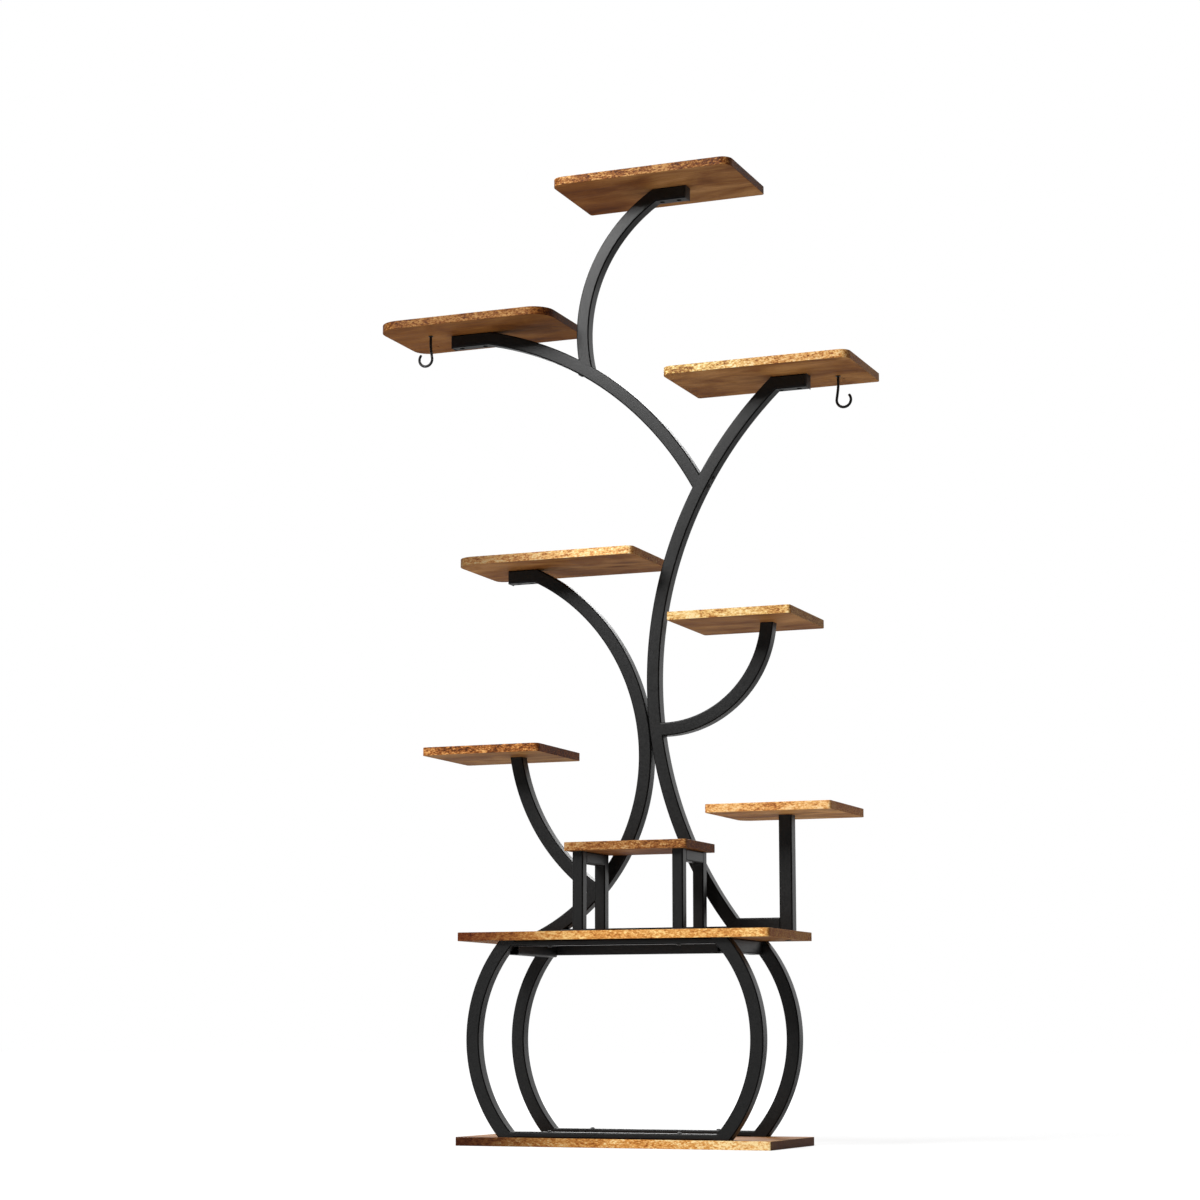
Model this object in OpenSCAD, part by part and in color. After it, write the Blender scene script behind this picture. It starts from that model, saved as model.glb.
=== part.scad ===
// Tree-shaped plant stand: two base shelves on bowed tube legs carry a tree of bent square tube,
// which holds seven shelves of two sizes. A small stool and two hooks go with it.
// Origin: middle of the bottom shelf's underside. X is right, Y is back, Z is up, in millimetres.

/* [Boards] */
// Thickness of every board
board_t = 15; // [12:0.5:18]
// Width of the two base shelves
base_w = 580; // [560:5:640]
// Depth of the two base shelves
base_d = 240; // [230:5:300]
// Clear height between the two base shelves
base_clear = 339; // [300:1:380]
// Width of the four large shelves
large_w = 350; // [300:5:360]
// Width of the three small shelves
small_w = 230; // [200:5:260]
// Depth of the seven tree shelves
shelf_d = 200; // [160:5:200]

/* [Tube] */
// Width of the square tube
tube_w = 24; // [21:0.5:26]
// Width of the stool's square tube
stool_tube_w = 20; // [18:0.5:22]
// Wall of the square tube
tube_wall = 1.2; // [1:0.1:1.6]
// Height of the flat bars
flat_h = 10; // [9:0.5:12]

/* [Base frames] */
// Distance from a base shelf's long edge to the leg frame
frame_inset = 10; // [5:1:20]
// Half the distance between the ends of the two legs of a frame
leg_end_x = 197; // [180:1:200]
// How far a leg bows out between its ends
leg_bow = 66; // [50:1:75]
// Height of the back frame's top bar
back_bar_h = 20; // [18:0.5:24]
// Distance of the base frames' screws from the middle
bar_screw_x = 120; // [80:1:140]

/* [Shelf places] */
// Middle of shelf 1, the top one
shelf_1_x = 30; // [20:1:50]
// Top of shelf 1
shelf_1_z = 1756; // [1730:1:1780]
// Middle of shelf 2, at the upper left
shelf_2_x = -329; // [-340:1:-310]
// Top of shelf 2
shelf_2_z = 1516; // [1500:1:1530]
// Middle of shelf 3, at the upper right
shelf_3_x = 247; // [240:1:270]
// Top of shelf 3
shelf_3_z = 1377; // [1365:1:1390]
// Middle of shelf 4, at the middle left
shelf_4_x = -159; // [-170:1:-145]
// Top of shelf 4
shelf_4_z = 1055; // [1040:1:1070]
// Middle of shelf 5, at the middle right
shelf_5_x = 196; // [180:1:220]
// Top of shelf 5
shelf_5_z = 930; // [915:1:945]
// Middle of shelf 6, at the lower left
shelf_6_x = -281; // [-300:1:-265]
// Top of shelf 6
shelf_6_z = 708; // [695:1:720]
// Middle of shelf 7, at the lower right
shelf_7_x = 265; // [255:1:280]
// Top of shelf 7
shelf_7_z = 587; // [575:1:600]

/* [Tree] */
// Distance of the tree's middle plane behind the middle of the base
tree_y = 50; // [48:1:60]
// Centreline radius of the trunk
trunk_r = 717; // [700:1:740]
// Place of the trunk's foot
trunk_foot_x = 181; // [178:1:188]
// Place of the trunk's top, under shelf 3
trunk_top_x = 255; // [248:1:262]
// Height of the trunk's splice
splice_z = 1212; // [1208:1:1235]
// Height where the left arc touches the trunk
touch_z = 733; // [720:1:740]
// How far the left arc's foot stands inside the leg ends
left_foot_in = 5; // [2:1:8]
// Place of the left arc's top, under shelf 4
left_top_x = -210; // [-225:1:-205]
// Centreline radius of the branch that holds shelf 2
branch_2_r = 637; // [630:1:680]
// Height where branch 2 leaves the trunk
branch_2_z = 1170; // [1155:1:1175]
// Place of branch 2's top, under shelf 2
branch_2_top_x = -308; // [-320:1:-300]
// Centreline radius of the branch that holds shelf 1
branch_1_r = 293; // [285:1:320]
// Place where branch 1 leaves branch 2
branch_1_foot_x = -108; // [-115:1:-100]
// Place of branch 1's top, under shelf 1
branch_1_top_x = 27; // [20:1:34]
// Centreline radius of the branch that holds shelf 5
branch_5_r = 197; // [190:1:210]
// Place of branch 5's top, under shelf 5
branch_5_top_x = 238; // [230:1:245]
// Centreline radius of the branch that holds shelf 6
branch_6_r = 364; // [355:1:400]
// Height where branch 6 leaves the left arc
branch_6_z = 446; // [438:1:455]
// Place of branch 6's top, under shelf 6
branch_6_top_x = -247; // [-252:1:-240]
// Place of the post that holds shelf 7
post_x = 268.5; // [262:0.5:275]

/* [Brackets] */
// Length of the bracket under shelf 1
bracket_1_l = 61; // [58:1:80]
// Length of the bracket under shelf 2
bracket_2_l = 76; // [60:1:80]
// Length of the bracket under shelf 3
bracket_3_l = 62; // [50:1:75]
// Length of the bracket under shelf 4
bracket_4_l = 53; // [46:1:65]
// Distance of a bracket's first screw from the bend
bracket_screw_in = 12; // [11:0.5:13]
// Distance of a bracket's last screw from its open end
bracket_screw_out = 16; // [14:0.5:18]

/* [Stool] */
// Middle of the stool, left to right
stool_x = 26; // [15:1:30]
// Middle of the stool, front to back
stool_y = -40; // [-44:1:-38]
// Height of the stool
stool_h = 154; // [130:1:180]
// Width of the stool's board
stool_w = 228; // [222:1:240]
// Depth of the stool's board
stool_d = 150; // [146:1:152]
// Distance between the outer faces of the stool's side frames
stool_frame_w = 206; // [190:1:214]
// Depth of the stool's side frames
stool_frame_d = 123; // [110:1:136]

/* [Hooks] */
// Wire diameter of a hook
hook_wire = 5; // [4:0.1:5]
// Place of the left hook, under shelf 2
hook_left_x = -423; // [-430:1:-418]
// The same, front to back
hook_left_y = 26; // [20:1:50]
// Place of the right hook, under shelf 3
hook_right_x = 365; // [360:1:375]
// The same, front to back
hook_right_y = 79; // [50:1:85]
// Length of a hook's straight shank
hook_shank = 22; // [18:1:25]
// Inner radius of a hook's bowl
hook_bowl_r = 10.8; // [9:0.1:12]
// Distance of the bowl's middle from the shank
hook_bowl_out = 10; // [8:0.5:12]
// Distance from the board down to the bowl's middle
hook_bowl_drop = 45; // [42:1:55]
// How far the tip turns up past level, in degrees
hook_tip_turn = 40; // [20:1:60]

/* [Fasteners] */
// Diameter of the wood screws
screw_d = 4; // [3.5:0.1:4.5]
// Head diameter of the wood screws
screw_head_d = 8; // [7.5:0.1:9]
// Head height of the wood screws
screw_head_h = 2.4; // [2:0.1:3]
// How far a screw goes into a board
screw_bite = 10; // [8:0.5:11]
// Diameter of the bolts
bolt_d = 6; // [5:0.1:6]
// Head diameter of the bolts
bolt_head_d = 11; // [10:0.1:12]
// Head height of the bolts
bolt_head_h = 1.8; // [1.5:0.1:3]
// Gap between a fastener and the side of its hole
screw_gap = 0.15; // [0.1:0.05:0.3]
// Gap between a plug and the tube that it fills
plug_gap = 0.15; // [0.1:0.05:0.3]
// Gap round the shank of a hook that turns in its board
hook_gap = 0.08; // [0.05:0.01:0.1]

/* [Hidden] */
$fn = 64;

// Facets of the long arcs, which stay true circles in the solid
arc_fn = 240;
// Longer than anything in the model
far = 3000;
// How far a cut runs past the face that it opens
over = 2;

wood = "peru";
wood_dark = "saddlebrown";
black = "dimgray";
steel = "silver";
plastic = "black";

half = tube_w / 2;
bore_half = half - tube_wall;
plug_half = bore_half - plug_gap;
// The same for the stool's tube
stool_half = stool_tube_w / 2;
stool_bore_half = stool_half - tube_wall;
stool_plug_half = stool_bore_half - plug_gap;

// Heights of the base
deck_z = board_t + base_clear;
top_z = deck_z + board_t;
leg_mid_z = board_t + base_clear / 2;

// A leg is one arc through its two ends and its bow
leg_r = base_clear * base_clear / (8 * leg_bow) + leg_bow / 2;
leg_c = [leg_end_x + leg_bow - leg_r, leg_mid_z];
frame_y = base_d / 2 - frame_inset - half;

// Corner radii of the boards: front left, front right, back right, back left
second_corners = [6, 8, 4, 4];
shelf_1_corners = [24, 20, 5, 5];
shelf_2_corners = [45, 40, 8, 30];
shelf_3_corners = [20, 18, 5, 5];
shelf_4_corners = [36, 12, 5, 16];
shelf_5_corners = [5, 6, 5, 5];
shelf_6_corners = [8, 12, 5, 5];
shelf_7_corners = [7, 6, 5, 24];
stool_corners = [4, 4, 4, 4];
bottom_corners = [4, 4, 4, 4];

function left_of(v) = [-v[1], v[0]];
function unit(v) = v / norm(v);
function turned(v, a) = [v[0] * cos(a) - v[1] * sin(a), v[0] * sin(a) + v[1] * cos(a)];
function degrees_for(l, r) = l / r * 180 / PI;
// Centre of the circle of radius r through p and q, on the left (1) or right (-1) of the way from p to q
function arc_centre(p, q, r, side) =
    (p + q) / 2 + side * sqrt(r * r - (q - p) * (q - p) / 4) * left_of(unit(q - p));
// Radius of the circle that leaves p square to n and runs through q
function arc_from(p, q, n) = (q - p) * (q - p) / (2 * ((q - p) * n));
// Point of a circle at a height or a place
function at_z(c, r, z, side) = [c[0] + side * sqrt(r * r - (z - c[1]) * (z - c[1])), z];
function at_x(c, r, x, side) = [x, c[1] + side * sqrt(r * r - (x - c[0]) * (x - c[0]))];
// Which way round a circle leads from p to q
function way(c, p, q) = sign(cross(p - c, q - c));
// Point reached along the arc from p towards q
function along(c, p, q, l) = c + turned(p - c, way(c, p, q) * degrees_for(l, norm(p - c)));
// Direction in which the arc from p arrives at q
function arrival(c, p, q) = way(c, p, q) * left_of(unit(q - c));

// Undersides of the shelves
under_1 = shelf_1_z - board_t;
under_2 = shelf_2_z - board_t;
under_3 = shelf_3_z - board_t;
under_4 = shelf_4_z - board_t;
under_5 = shelf_5_z - board_t;
under_6 = shelf_6_z - board_t;
under_7 = shelf_7_z - board_t;

// Trunk, in the tree's own plane: places are [x, z] on the tubes' centrelines
trunk_foot = [trunk_foot_x, top_z];
trunk_top = [trunk_top_x, under_3 - half];
trunk_c = arc_centre(trunk_foot, trunk_top, trunk_r, -1);
splice = at_z(trunk_c, trunk_r, splice_z, -1);
touch = at_z(trunk_c, trunk_r, touch_z, -1);
touch_n = unit(touch - trunk_c);

// Left arc: two curves that meet where it touches the trunk
left_touch = touch + tube_w * touch_n;
left_foot_x = left_foot_in - leg_end_x;
left_foot = [left_foot_x, top_z];
left_top = [left_top_x, under_4 - half];
left_low_r = arc_from(left_touch, left_foot, touch_n);
left_low_c = left_touch + left_low_r * touch_n;
left_high_r = arc_from(left_touch, left_top, touch_n);
left_high_c = left_touch + left_high_r * touch_n;

// Branches, from the tube that carries them up to their shelves
branch_2_foot = at_z(trunk_c, trunk_r, branch_2_z, -1);
branch_2_top = [branch_2_top_x, under_2 - half];
branch_2_c = arc_centre(branch_2_foot, branch_2_top, branch_2_r, 1);
branch_1_foot = at_x(branch_2_c, branch_2_r, branch_1_foot_x, 1);
branch_1_top = [branch_1_top_x, under_1 - half];
branch_1_c = arc_centre(branch_1_foot, branch_1_top, branch_1_r, -1);
branch_5_foot = touch;
branch_5_top = [branch_5_top_x, under_5];
branch_5_c = arc_centre(branch_5_foot, branch_5_top, branch_5_r, 1);
branch_6_foot = at_z(left_low_c, left_low_r, branch_6_z, 1);
branch_6_top = [branch_6_top_x, under_6];
branch_6_c = arc_centre(branch_6_foot, branch_6_top, branch_6_r, -1);

// Inserts in the branches' feet, and the bolts that reach into them
insert_l = 28;
bolt_reach = 18;
bolt_past = 6;
// Plugs in the tops of branches 5 and 6 and of the post
plug_l = 22;
post_screw_d = 5;
post_screw_head_d = 10;
post_screw_head_h = 2.7;
post_screw_l = board_t + 16;
// Sleeve inside the trunk's splice
sleeve_l = 32;
sleeve_wall = 1.6;
sleeve_screw_off = 22;
sleeve_screw_l = 6;
// Foot plugs on the second shelf
foot_plug_h = 14;
foot_bolt_in = 10;
// The left foot's bolt goes up close beside the left crossbar
left_bolt_x = half + bolt_head_d / 2 + 0.5 - leg_end_x;
// Plates that close the brackets
cap_t = 1.5;
cap_drop = 1;
cap_plug_l = 8;
// Drain hole in a crossbar's ends, and how far out it lies
drain_d = 4;
drain_out = 6;
// Round access holes under the screws inside a tube
access_d = screw_head_d + 1.5;
// Second, empty pilot hole beside each hook
spare_hole_d = 5;
spare_hole_deep = 8;
spare_right = [3, 23];
spare_left = [-20, 76];
// Threaded end and collar of a hook
hook_thread_l = 11;
collar_d = 9;
collar_t = 1.6;
// How far the wire swells at a hook's bends
bend_swell = 0.1;
// Stool feet
stool_foot_t = 2;
stool_plug_l = 10;

// Outline drawing in the tree's plane

module side_slab(y0, y1) {
    translate([0, y1, 0]) rotate([90, 0, 0]) linear_extrude(height = y1 - y0) children();
}

// A tube with the outline of its first child and a bore with the outline of its second
module hollow(y) {
    difference() {
        side_slab(y - half, y + half) children(0);
        side_slab(y - bore_half, y + bore_half) children(1);
    }
}

module disc(c, r) {
    translate(c) circle(r = r, $fn = arc_fn);
}

// Wedge of a circle from p to q, opened by the given lengths past each
module wedge(c, p, q, before, after) {
    r = norm(p - c);
    w = way(c, p, q);
    u = turned(unit(p - c), -w * degrees_for(before, r));
    v = turned(unit(q - c), w * degrees_for(after, r));
    polygon([c, c + 2 * r * u, c + 2 * r * unit(u + v), c + 2 * r * v]);
}

module arc_strip(c, p, q, h, before = 0, after = 0) {
    r = norm(p - c);
    intersection() {
        difference() {
            disc(c, r + h);
            disc(c, r - h);
        }
        wedge(c, p, q, before, after);
    }
}

// Everything in front of a line through p that faces along d
module ahead(p, d) {
    translate(p) rotate(atan2(d[1], d[0])) translate([0, -far]) square([far, 2 * far]);
}

// Curve that arrives at q along d, mitred into a level bracket of length l, to the right (1) or left (-1)
module bracketed(q, d, h, dir, l, after) {
    mitre = unit(d + [dir, 0]);
    difference() {
        children();
        ahead(q, mitre);
    }
    intersection() {
        ahead(q, mitre);
        level_strip(q, h, dir, l, after);
    }
    // What both hold, so that the two meet without a seam
    intersection() {
        children();
        level_strip(q, h, dir, l, after);
    }
}

module level_strip(q, h, dir, l, after) {
    translate([dir > 0 ? q[0] - tube_w : q[0] - l - after, q[1] - h]) square([l + tube_w + after, 2 * h]);
}

module bracket_strip(c, p, q, h, dir, l, before = 0, after = 0) {
    bracketed(q, arrival(c, p, q), h, dir, l, after) arc_strip(c, p, q, h, before, tube_w);
}

module above(z) {
    translate([-far, z]) square([2 * far, far]);
}

module below(z) {
    translate([-far, z - far]) square([2 * far, far]);
}

// Round rod in the tree's plane, from p along d
module rod(p, d, l, r) {
    translate([p[0], tree_y, p[1]]) rotate([0, 90 - atan2(d[1], d[0]), 0]) cylinder(h = l, r = r);
}

// Fasteners

module screw(p, dir, l) {
    translate(p) mirror([0, 0, dir > 0 ? 0 : 1]) {
        cylinder(h = l, r = screw_d / 2);
        translate([0, 0, -screw_head_h]) cylinder(h = screw_head_h, r = screw_head_d / 2);
    }
}

// Screw with its head inside a level tube, through the tube's top wall into the board above
module hidden_screw(x, y, z) {
    screw([x, y, z - tube_wall], 1, tube_wall + screw_bite);
}

// Holes for that screw: a round access hole in the tube's bottom wall and a small one in its top wall
module hidden_screw_holes(x, y, z, w = tube_w) {
    translate([x, y, z - w - over]) cylinder(h = tube_wall + 2 * over, r = access_d / 2);
    translate([x, y, z - tube_wall - over]) cylinder(h = tube_wall + 2 * over, r = screw_d / 2 + screw_gap);
}

// Pilot hole up into the board
module pilot(x, y, z) {
    translate([x, y, z - over]) cylinder(h = screw_bite + over + screw_gap, r = screw_d / 2 + screw_gap);
}

module bolt(p, d, l) {
    rod(p - bolt_head_h / 2 * d, d, l + bolt_head_h / 2, bolt_d / 2);
    rod(p - bolt_head_h * d, d, bolt_head_h, bolt_head_d / 2);
}

module bolt_hole(p, d, l) {
    rod(p - over * d, d, l + 2 * over, bolt_d / 2 + screw_gap);
}

// Boards

module board_outline(w, d, r) {
    x = w / 2;
    y = d / 2;
    polygon([
        [-x + r[0], -y], [x - r[1], -y], [x, -y + r[1]], [x, y - r[2]],
        [x - r[2], y], [-x + r[3], y], [-x, y - r[3]], [-x, -y + r[0]]
    ]);
    translate([-x + r[0], -y + r[0]]) circle(r = r[0]);
    translate([x - r[1], -y + r[1]]) circle(r = r[1]);
    translate([x - r[2], y - r[2]]) circle(r = r[2]);
    translate([-x + r[3], y - r[3]]) circle(r = r[3]);
}

module board(x, y, z, w, d, r) {
    translate([x, y, z]) linear_extrude(height = board_t) board_outline(w, d, r);
}

// Places of the two screws of a bracket that starts at x
function bracket_screws_at(x, dir, l) = [x + dir * bracket_screw_in, x + dir * (l - bracket_screw_out)];
screws_1 = bracket_screws_at(branch_1_top_x, 1, bracket_1_l);
screws_2 = bracket_screws_at(branch_2_top_x, -1, bracket_2_l);
screws_3 = bracket_screws_at(trunk_top_x, 1, bracket_3_l);
screws_4 = bracket_screws_at(left_top_x, -1, bracket_4_l);

module bracket_shelf(x, z, corners, screws) {
    color(wood) difference() {
        board(x, tree_y, z, large_w, shelf_d, corners);
        for (s = screws) pilot(s, tree_y, z);
        children();
    }
}

// Countersunk hole for the screw that holds a small shelf from above
module post_screw_shape(x, z, gap) {
    translate([x, tree_y, z + board_t - post_screw_l]) {
        cylinder(h = post_screw_l, r = post_screw_d / 2 + gap);
        translate([0, 0, post_screw_l - post_screw_head_h])
            cylinder(h = post_screw_head_h, r1 = post_screw_d / 2 + gap, r2 = post_screw_head_d / 2 + gap);
    }
}

module post_shelf(x, z, corners, screw_x) {
    color(wood) difference() {
        board(x, tree_y, z, small_w, shelf_d, corners);
        post_screw_shape(screw_x, z, screw_gap);
    }
}

module shelf_1() {
    bracket_shelf(shelf_1_x, under_1, shelf_1_corners, screws_1);
}

module shelf_2() {
    bracket_shelf(shelf_2_x, under_2, shelf_2_corners, screws_2) {
        hook_hole(hook_left_x, hook_left_y, under_2);
        spare_hole(hook_left_x + spare_left[0], hook_left_y + spare_left[1], under_2);
    }
}

module shelf_3() {
    bracket_shelf(shelf_3_x, under_3, shelf_3_corners, screws_3) {
        hook_hole(hook_right_x, hook_right_y, under_3);
        spare_hole(hook_right_x + spare_right[0], hook_right_y + spare_right[1], under_3);
    }
}

module shelf_4() {
    bracket_shelf(shelf_4_x, under_4, shelf_4_corners, screws_4);
}

module shelf_5() {
    post_shelf(shelf_5_x, under_5, shelf_5_corners, branch_5_top_x);
}

module shelf_6() {
    post_shelf(shelf_6_x, under_6, shelf_6_corners, branch_6_top_x);
}

module shelf_7() {
    post_shelf(shelf_7_x, under_7, shelf_7_corners, post_x);
}

module bottom_shelf() {
    color(wood_dark) difference() {
        board(0, 0, 0, base_w, base_d, bottom_corners);
        for (x = [-bar_screw_x, bar_screw_x], y = [-frame_y, frame_y])
            translate([x, y, board_t]) mirror([0, 0, 1]) pilot(0, 0, 0);
    }
}

module second_shelf() {
    color(wood) difference() {
        board(0, 0, deck_z, base_w, base_d, second_corners);
        for (x = [-bar_screw_x, bar_screw_x], y = [-frame_y, frame_y]) pilot(x, y, deck_z);
        for (x = [left_bolt_x, post_x]) bolt_hole([x, deck_z], [0, 1], board_t);
    }
}

// Base frames

module leg(side, y) {
    ends = [[leg_end_x, board_t], [leg_end_x, deck_z]];
    color(black) mirror([side < 0 ? 1 : 0, 0, 0]) hollow(y) {
        intersection() {
            arc_strip(leg_c, ends[0], ends[1], half, tube_w, tube_w);
            above(board_t);
            below(deck_z);
        }
        arc_strip(leg_c, ends[0], ends[1], bore_half, tube_w, tube_w);
    }
}

// Level bar between the two legs of a frame, cut to their inner faces
module frame_bar_outline(z, h, x) {
    difference() {
        translate([-x, z]) square([2 * x, h]);
        for (side = [0, 1]) mirror([side, 0]) difference() {
            translate([leg_c[0], z - over]) square([far, h + 2 * over]);
            disc(leg_c, leg_r - half);
        }
    }
}

module frame_bar(y, z, h) {
    difference() {
        side_slab(y - half, y + half) frame_bar_outline(z, h, leg_end_x + leg_bow);
        translate([-far, y - bore_half, z + tube_wall]) cube([2 * far, 2 * bore_half, h - 2 * tube_wall]);
    }
}

module flat_bar(y, z) {
    color(black) difference() {
        frame_bar(y, z, flat_h);
        for (x = [-bar_screw_x, bar_screw_x])
            translate([x, y, z - over]) cylinder(h = flat_h + 2 * over, r = screw_d / 2 + screw_gap);
    }
}

module front_left_leg() {
    leg(-1, -frame_y);
}

module front_right_leg() {
    leg(1, -frame_y);
}

module back_left_leg() {
    leg(-1, frame_y);
}

module back_right_leg() {
    leg(1, frame_y);
}

module front_top_bar() {
    flat_bar(-frame_y, deck_z - flat_h);
}

module front_bottom_bar() {
    flat_bar(-frame_y, board_t);
}

module back_bottom_bar() {
    flat_bar(frame_y, board_t);
}

module back_top_bar() {
    color(black) difference() {
        frame_bar(frame_y, deck_z - back_bar_h, back_bar_h);
        for (x = [-bar_screw_x, bar_screw_x]) hidden_screw_holes(x, frame_y, deck_z, back_bar_h);
    }
}

// Its ends are closed, apart from a drain hole that the leg covers
module crossbar(side) {
    l = 2 * (frame_y - half);
    color(black) translate([side * leg_end_x, 0, deck_z - half]) difference() {
        cube([tube_w, l, tube_w], center = true);
        cube([2 * bore_half, l - 2 * tube_wall, 2 * bore_half], center = true);
        translate([side * drain_out, 0, 0]) rotate([90, 0, 0])
            cylinder(h = l + 2 * over, r = drain_d / 2, center = true);
    }
}

module left_crossbar() {
    crossbar(-1);
}

module right_crossbar() {
    crossbar(1);
}

module base_screws() {
    color(steel) for (x = [-bar_screw_x, bar_screw_x]) {
        screw([x, -frame_y, deck_z - flat_h], 1, flat_h + screw_bite);
        hidden_screw(x, frame_y, deck_z);
        for (y = [-frame_y, frame_y]) screw([x, y, board_t + flat_h], -1, flat_h + screw_bite);
    }
}

// Bolts of the tree: each runs square through the tube that carries a branch into the branch's insert

function bolt_way(c, foot, top, parent_c) = unit(along(c, foot, top, bolt_reach) - parent_c);
function bolt_l(c, foot, top, parent_c, face_r) =
    abs(norm(along(c, foot, top, bolt_reach) - parent_c) - face_r) + bolt_past;

way_1 = bolt_way(branch_1_c, branch_1_foot, branch_1_top, branch_2_c);
head_1 = branch_2_c + (branch_2_r - half) * way_1;
bolt_1_l = bolt_l(branch_1_c, branch_1_foot, branch_1_top, branch_2_c, branch_2_r - half);
way_2 = bolt_way(branch_2_c, branch_2_foot, branch_2_top, trunk_c);
head_2 = trunk_c + (trunk_r - half) * way_2;
bolt_2_l = bolt_l(branch_2_c, branch_2_foot, branch_2_top, trunk_c, trunk_r - half);
way_5 = -touch_n;
head_5 = touch + (tube_w + half) * touch_n;
bolt_5_l = tube_w + half + bolt_reach + bolt_past;
way_6 = -bolt_way(branch_6_c, branch_6_foot, branch_6_top, left_low_c);
head_6 = left_low_c - (left_low_r + half) * way_6;
bolt_6_l = bolt_l(branch_6_c, branch_6_foot, branch_6_top, left_low_c, left_low_r + half);

// Screws of the splice: the upper one comes from outside the trunk's curve, the lower one from inside
splice_dirs = [for (s = [-1, 1]) turned(unit(splice - trunk_c), s * degrees_for(sleeve_screw_off, trunk_r))];
splice_sides = [1, -1];

module tree_bolts() {
    color(steel) {
        bolt(head_1, way_1, bolt_1_l);
        bolt(head_2, way_2, bolt_2_l);
        bolt(head_5, way_5, bolt_5_l);
        bolt(head_6, way_6, bolt_6_l);
    }
}

// Shank, or its hole: it starts half a head outside the tube, inside its own head
module sleeve_screw(k, gap) {
    side = splice_sides[k];
    d = splice_dirs[k];
    p = trunk_c + (trunk_r + side * (half + screw_head_h / 2)) * d;
    rod(p, -side * d, sleeve_screw_l + screw_head_h / 2 + gap, screw_d / 2 + gap);
}

module sleeve_screws() {
    color(steel) for (k = [0, 1]) {
        side = splice_sides[k];
        d = splice_dirs[k];
        sleeve_screw(k, 0);
        rod(trunk_c + (trunk_r + side * (half + screw_head_h)) * d, -side * d, screw_head_h, screw_head_d / 2);
    }
}

// Tubes of the tree

module trunk_lower() {
    color(black) difference() {
        hollow(tree_y) {
            intersection() {
                arc_strip(trunk_c, trunk_foot, splice, half, tube_w, 0);
                above(top_z);
            }
            arc_strip(trunk_c, trunk_foot, splice, bore_half, tube_w, over);
        }
        bolt_hole(head_2, way_2, tube_w);
        bolt_hole(head_5, way_5, 2 * tube_w);
        sleeve_screw(1, screw_gap);
    }
}

module trunk_upper() {
    color(black) difference() {
        hollow(tree_y) {
            bracket_strip(trunk_c, splice, trunk_top, half, 1, bracket_3_l);
            bracket_strip(trunk_c, splice, trunk_top, bore_half, 1, bracket_3_l, over, over);
        }
        for (x = screws_3) hidden_screw_holes(x, tree_y, under_3);
        sleeve_screw(0, screw_gap);
    }
}

module trunk_sleeve() {
    low = along(trunk_c, splice, trunk_foot, sleeve_l);
    high = along(trunk_c, splice, trunk_top, sleeve_l);
    color(steel) difference() {
        side_slab(tree_y - plug_half, tree_y + plug_half) arc_strip(trunk_c, low, high, plug_half);
        side_slab(tree_y - plug_half + sleeve_wall, tree_y + plug_half - sleeve_wall)
            arc_strip(trunk_c, low, high, plug_half - sleeve_wall, over, over);
        for (k = [0, 1]) sleeve_screw(k, screw_gap);
    }
}

// Quarter of the ring that touches the Y axis from the right, above (1) or below (-1) the X axis
module quarter_ring(r, h, side) {
    intersection() {
        difference() {
            disc([r, 0], r + h);
            disc([r, 0], r - h);
        }
        translate([-tube_w, side > 0 ? 0 : -far]) square([r + tube_w, far]);
    }
}

// Both curves of the left arc, seen from the place where they meet: Y runs down the tube there
module left_curves(h) {
    translate(left_touch) rotate(atan2(touch_n[1], touch_n[0])) {
        quarter_ring(left_low_r, h, 1);
        quarter_ring(left_high_r, h, -1);
    }
}

module left_strip(h, after) {
    d = arrival(left_high_c, left_touch, left_top);
    bracketed(left_top, d, h, -1, bracket_4_l, after) left_curves(h);
}

module left_arc() {
    color(black) difference() {
        hollow(tree_y) {
            intersection() {
                left_strip(half, 0);
                above(top_z);
            }
            left_strip(bore_half, over);
        }
        bolt_hole(head_5, way_5, tube_w);
        bolt_hole(head_6, way_6, tube_w);
        for (x = screws_4) hidden_screw_holes(x, tree_y, under_4);
    }
}

module branch_1() {
    color(black) difference() {
        hollow(tree_y) {
            difference() {
                bracket_strip(branch_1_c, branch_1_foot, branch_1_top, half, 1, bracket_1_l, tube_w);
                disc(branch_2_c, branch_2_r + half);
            }
            bracket_strip(branch_1_c, branch_1_foot, branch_1_top, bore_half, 1, bracket_1_l, tube_w, over);
        }
        for (x = screws_1) hidden_screw_holes(x, tree_y, under_1);
    }
}

module branch_2() {
    color(black) difference() {
        hollow(tree_y) {
            difference() {
                bracket_strip(branch_2_c, branch_2_foot, branch_2_top, half, -1, bracket_2_l, tube_w);
                disc(trunk_c, trunk_r + half);
            }
            bracket_strip(branch_2_c, branch_2_foot, branch_2_top, bore_half, -1, bracket_2_l, tube_w, over);
        }
        bolt_hole(head_1, way_1, tube_w);
        for (x = screws_2) hidden_screw_holes(x, tree_y, under_2);
    }
}

module branch_5() {
    color(black) hollow(tree_y) {
        intersection() {
            arc_strip(branch_5_c, branch_5_foot, branch_5_top, half, tube_w, tube_w);
            disc(trunk_c, trunk_r - half);
            below(under_5);
        }
        arc_strip(branch_5_c, branch_5_foot, branch_5_top, bore_half, tube_w, tube_w);
    }
}

module branch_6() {
    color(black) hollow(tree_y) {
        intersection() {
            arc_strip(branch_6_c, branch_6_foot, branch_6_top, half, tube_w, tube_w);
            disc(left_low_c, left_low_r - half);
            below(under_6);
        }
        arc_strip(branch_6_c, branch_6_foot, branch_6_top, bore_half, tube_w, tube_w);
    }
}

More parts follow.
